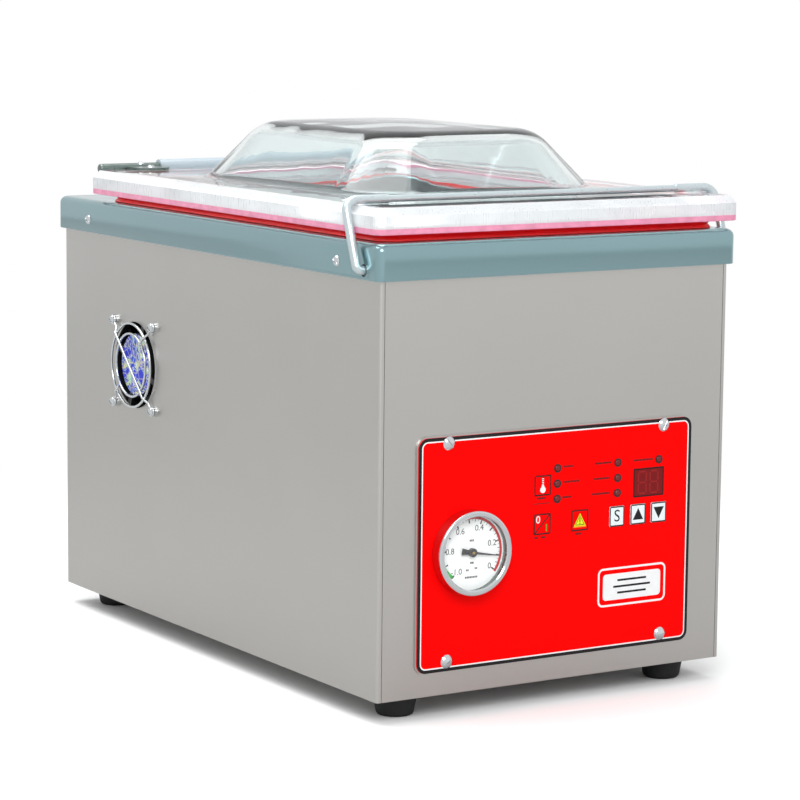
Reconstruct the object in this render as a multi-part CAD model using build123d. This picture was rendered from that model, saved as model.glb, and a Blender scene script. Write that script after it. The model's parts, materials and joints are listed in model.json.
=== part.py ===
"""Table-top chamber vacuum packing machine, as an assembly of separate pieces.

All sizes are millimetres. X runs to the right across the front, Y from the front to the rear
and Z up. The origin is on the floor, under the middle of the casing.
"""
import os
from math import cos, radians, sqrt, tan

from build123d import *

# --- casing -----------------------------------------------------------------------------------
BODY_W = 325.0          # width over the side panels
BODY_D = 532.0          # depth over the front and rear panels
FOOT_H = 18.0           # height of the rubber feet
CASING_H = 348.0        # from the underside of the panels to the top of the deck
SHEET = 1.2             # stainless panel sheet
BASE_T = 2.0            # base plate sheet
BASE_FLANGE_H = 22.0    # upturned edge of the base plate
RETURN_W = 4.0          # folded edge of a side panel, seen from the front
SEAM = 0.4              # gap between two neighbouring sheets
CAP_OVERHANG = 5.0      # how far the cap stands out over the panels
CAP_T = 2.0             # cap sheet
SKIRT_H = 28.0          # height of the cap's skirt
CAP_EDGE_R = 6.0        # rounding along the cap's top edges
CAP_CORNER_R = 7.0      # rounding of the cap's upright corners
PANEL_DROP = 1.0        # air between the panels' top edges and the deck
CAP_SCREW_R = 2.5
CAP_SCREW_HEAD_R = 4.2
CAP_SCREW_HEAD_H = 2.4
CAP_SCREW_L = 11.0
CAP_SCREW_INSET = 55.6  # cap screws from the casing's front and rear
CAP_SCREW_DROP = 17.0   # cap screws below the deck
SLOT_HALF = 0.6         # half width of a screw's slot
SLOT_FLOOR = 0.45       # bottom of the slot, as a share of the head's height

# --- feet -------------------------------------------------------------------------------------
FOOT_TOP_R = 18.0
FOOT_BOTTOM_R = 15.0
FOOT_ROUND = 4.0
FOOT_INSET_X = 34.8     # foot centre from the casing's side
FOOT_INSET_Y = 29.6     # foot centre from the casing's front or rear
FOOT_BORE_R = 2.7
FOOT_COUNTERBORE_R = 5.5
FOOT_COUNTERBORE_H = 9.0
FOOT_HEAD_H = 3.5       # head of a foot's screw
FOOT_HEAD_GAP = 0.7     # between that head and its counterbore
FOOT_SHANK_R = 2.5
FOOT_SHANK_OUT = 6.0    # shank above the base plate
FOOT_NUT_R = 4.6
FOOT_NUT_H = 4.0

# --- chamber ----------------------------------------------------------------------------------
CHAMBER_SIDE = 24.5     # inside side wall from the casing's side
CHAMBER_FRONT = 21.0    # inside front wall from the casing's front
CHAMBER_REAR = 106.0    # inside rear wall from the casing's rear
CHAMBER_DEPTH = 85.0    # deck top to the chamber's floor
CHAMBER_R = 14.0        # upright corner rounding
CHAMBER_FLOOR_R = 8.0   # rounding between walls and floor
TUB_T = 1.5             # tub sheet
TUB_FLANGE = 9.0        # tub's rim, welded under the deck
PORT_R = 9.0            # suction port radius
PORT_DROP = 36.0        # suction port centre below the deck
BAFFLE_END = 63.0       # baffle's end from the chamber's side wall
BAFFLE_H = 52.0
BAFFLE_T = 1.5
BAFFLE_GAP = 7.0        # baffle plate to the rear wall
BAFFLE_HOLE_R = 3.0
BAFFLE_HOLES = 7
BAFFLE_R = 8.0
BAFFLE_STUD_R = 4.0
BAFFLE_STUD_IN = 9.0    # stud from the baffle's end

# --- lid --------------------------------------------------------------------------------------
LID_SIDE = 6.5          # how far the lid stands out over the casing's side
LID_T = 20.0            # thickness of the acrylic flange
LID_LIFT = 6.5          # gap between deck and lid
LID_FRONT = 6.0         # how far the lid stands out over the casing's front panel
LID_BACK = 62.5         # lid's rear edge from the casing's rear
LID_BEVEL = 6.0
LID_CORNER_R = 8.0
DOME_SIDE = 51.0        # dome's foot, without its flare, from the lid's side
DOME_FRONT = 91.0       # and from the lid's front edge
DOME_BACK = 72.5        # and from its rear edge
DOME_CORNER_R = 62.0
DOME_H = 50.5
DOME_SLOPE = 40.0       # wall angle from upright, degrees
DOME_WALL = 8.0         # wall measured level
DOME_CROWN = 7.0        # wall at the top
DOME_TOP_R = 30.0
DOME_FLARE_R = 14.0
GASKET_INSET = 12.5     # gasket from the lid's edge
GASKET_W = 7.0
GASKET_CORNER_R = 14.0
GASKET_GAP = 0.2        # between the gasket and the deck
GASKET_VEE = 2.4        # depth of the groove in the gasket's outer side
GASKET_ROOT_W = 5.0
GASKET_ROOT_H = 5.5
GASKET_CLEAR = 0.1
PRESSURE_BAR_END = 5.0  # bar's end from the chamber's side wall
PRESSURE_BAR_W = 18.0
PRESSURE_BAR_H = 5.0
PRESSURE_STRIP_W = 12.0
PRESSURE_STRIP_H = 3.0

# --- hinge ------------------------------------------------------------------------------------
SLEEVE_TUCK = 2.5       # sleeve's front in over the lid's rear bevel
HINGE_OVER_LID = 0.5    # hinge axis above the lid's top face
SHAFT_R = 4.2
SHAFT_END = 11.0         # shaft's end from the lid's side
SLEEVE_END = 69.0       # sleeve's end from the lid's side
SPRING_ROOM = 1.75      # between the shaft and the sleeve's bore
SLEEVE_WALL = 1.05
SLEEVE_BEARING_L = 12.0
SHAFT_CLEAR = 0.06
LEAF_W = 33.0
LEAF_T = 2.0
LEAF_REACH = 31.0       # how far a leaf lies on the lid
LEAF_CORNER_R = 12.0
SPRING_WIRE_R = 0.6
SPRING_TURNS = 14
SPRING_PITCH = 4.0
POST_W = 12.0
POST_FROM_END = 28.0    # post's middle from the sleeve's end
POST_FOOT_L = 26.0
POST_T = 3.0
POST_SCREW_L = 9.0
LEAF_SCREW_R = 2.0
LEAF_SCREW_L = 10.0
LEAF_SCREW_HEAD_R = 3.6
LEAF_SCREW_HEAD_H = 2.2
SHAFT_FLAT = 1.2        # spot face for the screws on top of the shaft

# --- bail -------------------------------------------------------------------------------------
BAIL_ROD_R = 3.5
BAIL_BAR_R = 2.7        # the cross bar's slimmer middle
BAIL_COLLAR = 38.5      # from a leg to where that middle begins
BAIL_AIR = 2.2          # between a leg and the cap
BAIL_LEAN = 18.66       # cross bar behind the pivot
BAIL_PIVOT_BACK = 16.0  # pivot behind the casing's front panel
BAIL_PIVOT_DROP = 20.8  # pivot below the deck
BAIL_BEND_R = 10.0
BAIL_END_BEND_R = 4.4
BAIL_END = 11.0         # wire's end in from the casing's side
BAIL_LIE = 0.3          # air between the cross bar and the lid
BAIL_CLEAR = 0.08
BAIL_HOLE_R = 4.8       # hole in the cap and the side panel, round the bail's end
BUSH_R = 7.0
BUSH_L = 9.0
BUSH_FLANGE_R = 9.0
BUSH_FLANGE_T = 1.5

# --- control panel ----------------------------------------------------------------------------
PLATE_SIDE = 33.0       # plate's side from the casing's side
PLATE_H = 183.4
PLATE_T = 1.5
PLATE_Z = 17.4          # plate's lower edge above the panels' underside
PLATE_R = 9.0
OVERLAY_INSET = 1.2
OVERLAY_T = 0.8
PANEL_SCREW_SIDE = 28.3     # screws from the plate's side
PANEL_SCREW_TOP = 177.2     # upper screws above the plate's lower edge
PANEL_SCREW_LOW = 8.6
PANEL_SCREW_HEAD_R = 5.4
PANEL_SCREW_HEAD_H = 2.6
LED_RING_R = 3.3
LED_R = 2.4
LED_PROUD = 0.9
LEDS = [(-1.0, 150.4), (-1.0, 138.3), (-1.0, 126.3), (56.6, 150.4), (56.6, 138.2), (56.6, 126.3),
        (96.7, 150.0)]      # x, height above the plate's lower edge
DISPLAY = (72.2, 121.1, 29.7, 22.9)     # x, height, width and height of the window
DISPLAY_LEDGE = 1.6
KEYS = {                    # x, height above the plate's lower edge, width, height
    "thermometer_key": (-22.6, 130.1, 15.6, 15.8),
    "power_key": (-22.8, 99.6, 15.9, 16.2),
    "stop_key": (12.8, 99.4, 16.1, 16.5),
    "select_key": (49.5, 99.6, 14.2, 16.0),
    "up_key": (69.8, 99.6, 14.6, 16.0),
    "down_key": (89.8, 99.6, 15.0, 16.0),
}
KEY_CLEAR = 0.25
KEY_PROUD = 0.4
KEY_TRAVEL = 0.4
KEY_FLANGE = 1.2
KEY_R = 1.2
BOARD_W = 158.0
BOARD_H = 86.0
BOARD_T = 1.6
BOARD_X = 40.0              # board centre
BOARD_Z = 124.0             # board centre above the plate's lower edge
BOARD_BACK = 4.5            # board face behind the front panel's outer face
WINDOW_MARGIN = 7.0         # opening in the front panel, inside the board's outline

# --- vacuum gauge -----------------------------------------------------------------------------
GAUGE_X = -83.0
GAUGE_Z = 92.6              # gauge centre above the plate's lower edge
BEZEL_R = 33.0
BEZEL_T = 2.4
BEZEL_PROUD = 12.0
BEZEL_LIP = 4.6
CASE_T = 1.2
CASE_BACK = 26.0            # case behind the front panel's outer face
GLASS_T = 2.0
DIAL_T = 0.8
DIAL_BACK = 8.3             # dial face behind the bezel's front
NEEDLE_T = 0.6
NEEDLE_L = 24.0
NEEDLE_TAIL = 10.0
NEEDLE_ANGLE = -10.0        # where the needle points, degrees above level
SPINDLE_R = 1.5

# --- fan --------------------------------------------------------------------------------------
FAN_SIZE = 80.0
FAN_DEPTH = 25.0
FAN_PITCH = 71.5
FAN_BORE_R = 38.0
FAN_HUB_R = 27.0
FAN_Y = 131.6
FAN_BELOW = 50.8            # fan centre below the chamber's floor
FAN_BLADES = 7
FAN_BLADE_T = 1.6
FAN_TIP_GAP = 1.5
GUARD_WIRE_R = 1.1
GUARD_RINGS = (27.0, 35.8)
GUARD_STAND = 3.0           # eyelet spacers, panel to guard
GUARD_EYELET_R = 4.4
FAN_SCREW_R = 2.1

# --- sealing bar ------------------------------------------------------------------------------
SEAL_END = 7.0              # bar's end from the chamber's side wall
SEAL_W = 16.0
SEAL_H = 26.0
SEAL_FROM_FRONT = 19.0      # bar centre from the chamber's front wall
SEAL_TRAVEL = 8.0
SEAL_FREE = 0.8             # air left between element and pressure strip when raised
ELEMENT_H = 1.6
LIFT_FROM_END = 36.0        # lift rod from the bar's end
LIFT_ROD_R = 4.0
LIFT_CYL_R = 9.0
LIFT_CYL_H = 32.0
LIFT_CLEAR = 0.05

# --- vacuum pump and electrics ------------------------------------------------------------------
PUMP_X = 15.0
PUMP_Z = 118.0              # shaft height above the floor
PUMP_Y0 = -130.0
PUMP_L = 120.0
PUMP_W = 136.0
PUMP_TOP = 62.0
PUMP_BELOW = 66.0
MOTOR_R = 56.0
MOTOR_L = 150.0
MOTOR_FINS = 24
MOTOR_FIN_H = 5.0
COWL_L = 34.0
MOTOR_SHAFT_R = 8.0
ROTOR_R = 30.0
ROTOR_OFFSET = 5.0
ROTOR_BORE_R = 36.0
MOUNT_R = 11.0
FILTER_R = 27.0
FILTER_L = 120.0
HOSE_R = 8.0
HOSE_BORE_R = 5.5
HOSE_BEND_R = 26.0
HOSE_BELOW = 35.0       # the hose's long run below the chamber's floor
VALVE_GAP = 14.0        # valve block behind the chamber
VALVE_HALF = 62.0
VALVE_H = 28.0
TRANSFORMER = (62.0, 52.0, 60.0)
INLET_X = -95.0
INLET_Z = 62.0
INLET_W = 28.0
INLET_H = 20.5
INLET_FLANGE = 9.5
INLET_DEPTH = 21.0
INLET_RECESS_W = 25.5
INLET_RECESS_H = 17.0
INLET_RECESS = 16.0
INLET_PROUD = 3.0
PIN_PITCH = 7.0
FUSE_X = -48.0
FUSE_R = 6.0
FUSE_CAP_R = 7.6
FUSE_PROUD = 10.0
VENT_SLOTS = 9
VENT_L = 90.0
VENT_H = 4.0
VENT_PITCH = 11.0
VENT_LEVEL = 0.62       # middle of the slots, as a share of the casing's height

# --- places worked out from the sizes above -----------------------------------------------------
HALF_W = BODY_W / 2
HALF_D = BODY_D / 2
FRONT = -HALF_D
DECK_Z = FOOT_H + CASING_H
PANEL_TOP = DECK_Z - CAP_T - PANEL_DROP
CAP_HALF_W = HALF_W + CAP_OVERHANG
CAP_HALF_D = HALF_D + CAP_OVERHANG
CHAMBER_Y0 = FRONT + CHAMBER_FRONT
CHAMBER_Y1 = HALF_D - CHAMBER_REAR
CHAMBER_Z = DECK_Z - CHAMBER_DEPTH
CHAMBER_W = BODY_W - 2 * CHAMBER_SIDE
BAFFLE_W = CHAMBER_W - 2 * BAFFLE_END
LID_Z = DECK_Z + LID_LIFT
LID_TOP = LID_Z + LID_T
LID_W = BODY_W + 2 * LID_SIDE
LID_Y0 = FRONT - LID_FRONT
LID_Y1 = HALF_D - LID_BACK
DOME_HALF_X = LID_W / 2 - DOME_SIDE
DOME_Y0 = LID_Y0 + DOME_FRONT
DOME_Y1 = LID_Y1 - DOME_BACK
DOME_HALF_Y = (DOME_Y1 - DOME_Y0) / 2
DOME_CENTRE_Y = (DOME_Y0 + DOME_Y1) / 2
PRESSURE_BAR_L = CHAMBER_W - 2 * PRESSURE_BAR_END
SLEEVE_BORE_R = SHAFT_R + SPRING_ROOM
SLEEVE_R = SLEEVE_BORE_R + SLEEVE_WALL
SLEEVE_L = LID_W - 2 * SLEEVE_END
SHAFT_L = LID_W - 2 * SHAFT_END
POST_X = SLEEVE_L / 2 - POST_FROM_END
HINGE_Y = LID_Y1 + SLEEVE_R - SLEEVE_TUCK
HINGE_Z = LID_TOP + HINGE_OVER_LID
BAIL_Y = FRONT + BAIL_PIVOT_BACK
BAIL_Z = DECK_Z - BAIL_PIVOT_DROP
BAR_Z = LID_TOP + BAIL_ROD_R + BAIL_LIE
BAR_Y = BAIL_Y + BAIL_LEAN
BAIL_HALF_W = CAP_HALF_W + BAIL_AIR + BAIL_ROD_R
BAIL_BAR_HALF = BAIL_HALF_W - BAIL_COLLAR
BAIL_END_X = HALF_W - BAIL_END
PLATE_W = BODY_W - 2 * PLATE_SIDE
PANEL_SCREW_X = PLATE_W / 2 - PANEL_SCREW_SIDE
PLATE_Z0 = FOOT_H + PLATE_Z
PLATE_FACE = FRONT - PLATE_T
OVERLAY_FACE = PLATE_FACE - OVERLAY_T
GAUGE_CZ = PLATE_Z0 + GAUGE_Z
BOARD_CZ = PLATE_Z0 + BOARD_Z
BOARD_FACE = FRONT + BOARD_BACK
FAN_CZ = CHAMBER_Z - FAN_BELOW
HOSE_LEVEL = CHAMBER_Z - HOSE_BELOW
WALL_IN = -HALF_W + SHEET
SEAL_Y = CHAMBER_Y0 + SEAL_FROM_FRONT
SEAL_L = CHAMBER_W - 2 * SEAL_END
LIFT_X = SEAL_L / 2 - LIFT_FROM_END
SEAL_TOP = LID_Z - PRESSURE_BAR_H - PRESSURE_STRIP_H - SEAL_FREE - SEAL_TRAVEL
BEZEL_FACE = OVERLAY_FACE - BEZEL_PROUD
DIAL_Y = BEZEL_FACE + DIAL_BACK
CASE_R = BEZEL_R - BEZEL_T - 0.05
PUMP_Y1 = PUMP_Y0 + PUMP_L
MOTOR_Y1 = PUMP_Y1 + MOTOR_L
PUMP_FOOT_Z = PUMP_Z - PUMP_BELOW
VALVE_Y = CHAMBER_Y1 + TUB_T + VALVE_GAP
VALVE_Z = DECK_Z - PORT_DROP - VALVE_H / 2
BIG = 1000.0            # longer than the machine, for cuts right through


# --- helpers ------------------------------------------------------------------------------------
def block(x, y, z):
    """A box between two limits on each axis."""
    size = (x[1] - x[0], y[1] - y[0], z[1] - z[0])
    middle = (sum(x) / 2, sum(y) / 2, sum(z) / 2)
    return Pos(*middle) * Box(*size)


def rod_x(x, y, z, r):
    """A round bar along X between two limits."""
    return Pos(sum(x) / 2, y, z) * Rot(0, 90, 0) * Cylinder(r, x[1] - x[0])


def rod_y(x, y, z, r):
    """A round bar along Y between two limits."""
    return Pos(x, sum(y) / 2, z) * Rot(90, 0, 0) * Cylinder(r, y[1] - y[0])


def rod_z(x, y, z, r):
    """A round bar along Z between two limits."""
    return Pos(x, y, sum(z) / 2) * Cylinder(r, z[1] - z[0])


def rounded(shape, axis, r):
    """Round the edges that run along one axis."""
    return fillet(shape.edges().filter_by(axis), r)


def both_sides(piece):
    """A piece and its mirror image across the middle of the machine."""
    return Compound(children=[piece, mirror(piece, Plane.YZ)])


def four(x, y, make):
    """Four copies of a piece at the corners of a rectangle."""
    return [make(sx * x, sy * y) for sx in (-1, 1) for sy in (-1, 1)]


def group(pieces):
    """Separate solids kept together in one node."""
    return Compound(children=[Part(p.wrapped) if isinstance(p, Part) else p for p in pieces])


def tapered(half_x, half_y, r, z, height, slope):
    """A rounded rectangle carried upwards while its sides lean inwards."""
    outline = Pos(0, DOME_CENTRE_Y, z) * RectangleRounded(2 * half_x, 2 * half_y, r)
    return extrude(outline, amount=height, taper=slope)


def ring_plate(x, y, z, r, width):
    """A flat rounded-rectangle ring of a given width."""
    outer = rounded(block(x, y, z), Axis.Z, r)
    inner = block((x[0] + width, x[1] - width), (y[0] + width, y[1] - width), z)
    return outer - rounded(inner, Axis.Z, r - width)


# --- casing -------------------------------------------------------------------------------------
def base_plate():
    x = HALF_W - SHEET - SEAM
    y = HALF_D - SHEET - SEAM
    tray = block((-x, x), (-y, y), (FOOT_H, FOOT_H + BASE_FLANGE_H))
    tray -= block((-x + BASE_T, x - BASE_T), (-y + BASE_T, y - BASE_T),
                  (FOOT_H + BASE_T, FOOT_H + BASE_FLANGE_H))
    for hole in four(HALF_W - FOOT_INSET_X, HALF_D - FOOT_INSET_Y,
                     lambda cx, cy: rod_z(cx, cy, (FOOT_H, FOOT_H + BASE_T), FOOT_BORE_R)):
        tray -= hole
    return tray


def side_panel(side):
    """A sheet with a narrow folded edge at the front and at the rear."""
    x = sorted((side * HALF_W, side * (HALF_W - SHEET)))
    edge = sorted((side * HALF_W, side * (HALF_W - RETURN_W)))
    z = (FOOT_H, PANEL_TOP)
    panel = block(x, (-HALF_D, HALF_D), z)
    panel += block(edge, (-HALF_D, -HALF_D + SHEET), z)
    panel += block(edge, (HALF_D - SHEET, HALF_D), z)
    panel -= rod_x((x[0] - SHEET, x[1] + SHEET), BAIL_Y, BAIL_Z, BAIL_HOLE_R)
    for cy in cap_screw_places():
        panel -= rod_x((x[0] - SHEET, x[1] + SHEET), cy, cap_screw_height(), CAP_SCREW_R + BAIL_CLEAR)
    return panel


def left_side_panel():
    """The left panel also has the fan's opening and its four screw holes."""
    x = (-HALF_W - SHEET, WALL_IN + SHEET)
    panel = side_panel(-1) - rod_x(x, FAN_Y, FAN_CZ, FAN_BORE_R - 1)
    for dy, dz in fan_corners():
        panel -= rod_x(x, FAN_Y + dy, FAN_CZ + dz, FAN_SCREW_R + BAIL_CLEAR)
    return panel


def right_side_panel():
    return side_panel(1)


def panel_limits():
    """Left and right edges of the front and rear panels."""
    return (-HALF_W + RETURN_W + SEAM, HALF_W - RETURN_W - SEAM)


def front_panel():
    y = (FRONT, FRONT + SHEET)
    panel = block(panel_limits(), y, (FOOT_H, PANEL_TOP))
    panel -= rod_y(GAUGE_X, y, GAUGE_CZ, BEZEL_R - BEZEL_T + KEY_CLEAR)
    half_w = BOARD_W / 2 - WINDOW_MARGIN
    half_h = BOARD_H / 2 - WINDOW_MARGIN
    panel -= block((BOARD_X - half_w, BOARD_X + half_w), y, (BOARD_CZ - half_h, BOARD_CZ + half_h))
    for x, z in panel_screw_places():
        panel -= rod_y(x, y, z, FOOT_BORE_R)
    return panel


def rear_panel():
    y = (HALF_D - SHEET, HALF_D)
    panel = block(panel_limits(), y, (FOOT_H, PANEL_TOP))
    for i in range(VENT_SLOTS):
        z = FOOT_H + CASING_H * VENT_LEVEL + (i - VENT_SLOTS / 2) * VENT_PITCH
        slot = block((-VENT_L / 2, VENT_L / 2), y, (z, z + VENT_H))
        panel -= rounded(slot, Axis.Y, VENT_H / 2 - 0.1)
    panel -= block((INLET_X - INLET_W / 2, INLET_X + INLET_W / 2), y,
                   (INLET_Z - INLET_H / 2, INLET_Z + INLET_H / 2))
    panel -= rod_y(FUSE_X, y, INLET_Z, FUSE_R + KEY_CLEAR)
    return panel


def cap_screw_places():
    return (-HALF_D + CAP_SCREW_INSET, HALF_D - CAP_SCREW_INSET)


def cap_screw_height():
    return DECK_Z - CAP_SCREW_DROP


def top_cap():
    """A folded tray, open below, with a round-cornered hole over the chamber."""
    z = (DECK_Z - SKIRT_H, DECK_Z)
    cap = rounded(block((-CAP_HALF_W, CAP_HALF_W), (-CAP_HALF_D, CAP_HALF_D), z), Axis.Z, CAP_CORNER_R)
    cap = fillet(cap.faces().sort_by(Axis.Z)[-1].edges(), CAP_EDGE_R)
    inner = block((-CAP_HALF_W + CAP_T, CAP_HALF_W - CAP_T), (-CAP_HALF_D + CAP_T, CAP_HALF_D - CAP_T),
                  (z[0] - 1, DECK_Z - CAP_T))
    inner = rounded(inner, Axis.Z, CAP_CORNER_R - CAP_T)
    inner = fillet(inner.faces().sort_by(Axis.Z)[-1].edges(), CAP_EDGE_R - CAP_T)
    cap -= inner
    hole = block((-CHAMBER_W / 2, CHAMBER_W / 2), (CHAMBER_Y0, CHAMBER_Y1), (DECK_Z - CAP_T - 1, DECK_Z))
    cap -= rounded(hole, Axis.Z, CHAMBER_R)
    cap -= rod_x((-BIG, BIG), BAIL_Y, BAIL_Z, BAIL_HOLE_R)
    for y in cap_screw_places():
        cap -= rod_x((-BIG, BIG), y, cap_screw_height(), CAP_SCREW_R + BAIL_CLEAR)
    for x in (-POST_X, POST_X):
        cap -= rod_z(x, post_screw_y(), (DECK_Z - CAP_T, DECK_Z), CAP_SCREW_R + BAIL_CLEAR)
    return cap


def chamber_tub():
    """A welded tub with a rounded floor and a flat rim under the deck."""
    under = DECK_Z - CAP_T
    x = (-CHAMBER_W / 2, CHAMBER_W / 2)
    y = (CHAMBER_Y0, CHAMBER_Y1)
    out_x = (x[0] - TUB_T, x[1] + TUB_T)
    out_y = (y[0] - TUB_T, y[1] + TUB_T)
    outer = rounded(block(out_x, out_y, (CHAMBER_Z - TUB_T, under)), Axis.Z, CHAMBER_R + TUB_T)
    outer = fillet(outer.faces().sort_by(Axis.Z)[0].edges(), CHAMBER_FLOOR_R + TUB_T)
    rim = block((x[0] - TUB_FLANGE, x[1] + TUB_FLANGE), (y[0] - TUB_FLANGE, y[1] + TUB_FLANGE),
                (under - TUB_T, under))
    outer += rounded(rim, Axis.Z, CHAMBER_R + TUB_FLANGE)
    inner = rounded(block(x, y, (CHAMBER_Z, under)), Axis.Z, CHAMBER_R)
    inner = fillet(inner.faces().sort_by(Axis.Z)[0].edges(), CHAMBER_FLOOR_R)
    tub = outer - inner
    tub -= rod_y(0, (CHAMBER_Y1 - TUB_T, CHAMBER_Y1 + 2 * TUB_T), DECK_Z - PORT_DROP, PORT_R)
    return tub


def suction_baffle():
    """A perforated plate that keeps bags away from the suction port."""
    y1 = CHAMBER_Y1 - BAFFLE_GAP
    middle = DECK_Z - PORT_DROP
    z = (middle - BAFFLE_H / 2, middle + BAFFLE_H / 2)
    plate = rounded(block((-BAFFLE_W / 2, BAFFLE_W / 2), (y1 - BAFFLE_T, y1), z), Axis.Y, BAFFLE_R)
    pitch = BAFFLE_W / (BAFFLE_HOLES + 1)
    for i in range(BAFFLE_HOLES):
        x = (i - (BAFFLE_HOLES - 1) / 2) * pitch
        for dz in (-pitch / 2, pitch / 2):
            plate -= rod_y(x, (y1 - BAFFLE_T, y1), middle + dz, BAFFLE_HOLE_R)
    stud = BAFFLE_W / 2 - BAFFLE_STUD_IN
    for x in (-stud, stud):
        plate += rod_y(x, (y1, CHAMBER_Y1), middle, BAFFLE_STUD_R)
    return plate


def rubber_foot(x, y):
    foot = Pos(x, y, FOOT_H / 2) * Cone(FOOT_BOTTOM_R, FOOT_TOP_R, FOOT_H)
    foot = fillet(foot.edges().sort_by(Axis.Z)[0], FOOT_ROUND)
    foot -= rod_z(x, y, (0, FOOT_H), FOOT_BORE_R)
    return foot - rod_z(x, y, (0, FOOT_COUNTERBORE_H), FOOT_COUNTERBORE_R)


def rubber_feet():
    return group(four(HALF_W - FOOT_INSET_X, HALF_D - FOOT_INSET_Y, rubber_foot))


def foot_screw(x, y):
    """A pan-head screw up through the foot, with its nut on the base plate."""
    head_z = (FOOT_COUNTERBORE_H - FOOT_HEAD_H, FOOT_COUNTERBORE_H)
    top = FOOT_H + BASE_T
    screw = rod_z(x, y, head_z, FOOT_COUNTERBORE_R - FOOT_HEAD_GAP)
    screw += rod_z(x, y, (head_z[1], top + FOOT_SHANK_OUT), FOOT_SHANK_R)
    nut = extrude(Pos(x, y, top) * RegularPolygon(FOOT_NUT_R, 6), amount=FOOT_NUT_H)
    return screw + nut


def foot_screws():
    return group(four(HALF_W - FOOT_INSET_X, HALF_D - FOOT_INSET_Y, foot_screw))


def domed_screw(head_r, head_h, shank_r, shank_l, slot_turn):
    """A slotted domed screw, head towards +Z, seated at the origin."""
    ball_r = (head_r**2 + head_h**2) / (2 * head_h)
    head = Pos(0, 0, head_h - ball_r) * Sphere(ball_r)
    head &= block((-head_r, head_r), (-head_r, head_r), (0, head_h))
    head += rod_z(0, 0, (-shank_l, 0.1), shank_r)
    slot = block((-head_r, head_r), (-SLOT_HALF, SLOT_HALF), (head_h * SLOT_FLOOR, head_h))
    return head - Rot(0, 0, slot_turn) * slot


def cap_side_screws():
    screw = domed_screw(CAP_SCREW_HEAD_R, CAP_SCREW_HEAD_H, CAP_SCREW_R, CAP_SCREW_L, 55)
    placed = []
    for y in cap_screw_places():
        placed.append(Pos(-CAP_HALF_W, y, cap_screw_height()) * Rot(0, -90, 0) * screw)
        placed.append(Pos(CAP_HALF_W, y, cap_screw_height()) * Rot(0, 90, 0) * screw)
    return group(placed)


# --- lid ----------------------------------------------------------------------------------------
def gasket_limits():
    inset = GASKET_INSET
    return ((-LID_W / 2 + inset, LID_W / 2 - inset), (LID_Y0 + inset, LID_Y1 - inset))


def root_ring(clear, height):
    """The ring that holds the gasket in the lid's groove."""
    x, y = gasket_limits()
    step = (GASKET_W - GASKET_ROOT_W) / 2 - clear
    return ring_plate((x[0] + step, x[1] - step), (y[0] + step, y[1] - step), (LID_Z, LID_Z + height),
                      GASKET_CORNER_R - step, GASKET_ROOT_W + 2 * clear)


def lid_shell():
    """A thick clear flange with a blown dome, hollow from below."""
    flange = block((-LID_W / 2, LID_W / 2), (LID_Y0, LID_Y1), (LID_Z, LID_TOP))
    flange = rounded(flange, Axis.Z, LID_CORNER_R)
    flange = chamfer(flange.faces().sort_by(Axis.Z)[-1].edges(), LID_BEVEL)
    dome = tapered(DOME_HALF_X, DOME_HALF_Y, DOME_CORNER_R, LID_TOP - 2, DOME_H + 2, DOME_SLOPE)
    dome = fillet(dome.faces().sort_by(Axis.Z)[-1].edges(), DOME_TOP_R)
    lean = tan(radians(DOME_SLOPE))
    grow = LID_T * lean - DOME_WALL
    hollow = tapered(DOME_HALF_X + grow, DOME_HALF_Y + grow, DOME_CORNER_R + grow, LID_Z,
                     LID_T + DOME_H - DOME_CROWN, DOME_SLOPE)
    hollow = fillet(hollow.faces().sort_by(Axis.Z)[-1].edges(), DOME_TOP_R - DOME_CROWN)
    lid = flange + dome
    foot = [e for e in lid.edges() if abs(e.center().Z - LID_TOP) < 0.01
            and abs(e.center().X) < DOME_HALF_X + 3 and abs(e.center().Y - DOME_CENTRE_Y) < DOME_HALF_Y + 3]
    lid = fillet(foot, DOME_FLARE_R) - hollow - root_ring(GASKET_CLEAR, GASKET_ROOT_H + 2 * GASKET_CLEAR)
    for x, y in leaf_screw_places():
        lid -= rod_z(x, y, (LID_TOP - LEAF_SCREW_L - 1, LID_TOP), LEAF_SCREW_R + BAIL_CLEAR)
    return lid


def lid_gasket():
    """A silicone ring with a V groove round its outer side and a root in the lid."""
    x, y = gasket_limits()
    low = DECK_Z + GASKET_GAP
    half = (LID_Z - low) / 2
    slope = 45.0 * GASKET_VEE / half
    middle = Pos(sum(x) / 2, sum(y) / 2, 0)
    outline = RectangleRounded(x[1] - x[0], y[1] - y[0], GASKET_CORNER_R)
    lower = extrude(Pos(0, 0, low) * middle * outline, amount=half, taper=slope)
    upper = extrude(Pos(0, 0, LID_Z) * middle * outline, amount=-half, taper=slope)
    inner = block((x[0] + GASKET_W, x[1] - GASKET_W), (y[0] + GASKET_W, y[1] - GASKET_W), (low, LID_Z))
    ring = lower + upper - rounded(inner, Axis.Z, GASKET_CORNER_R - GASKET_W)
    return ring + root_ring(0, GASKET_ROOT_H)


def pressure_bar():
    """An aluminium channel under the lid, over the sealing bar."""
    y = (SEAL_Y - PRESSURE_BAR_W / 2, SEAL_Y + PRESSURE_BAR_W / 2)
    bar = block((-PRESSURE_BAR_L / 2, PRESSURE_BAR_L / 2), y, (LID_Z - PRESSURE_BAR_H, LID_Z))
    half = PRESSURE_STRIP_W / 2
    return bar - block((-PRESSURE_BAR_L / 2, PRESSURE_BAR_L / 2), (SEAL_Y - half, SEAL_Y + half),
                       (LID_Z - PRESSURE_BAR_H, LID_Z - PRESSURE_BAR_H + 2))


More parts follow.
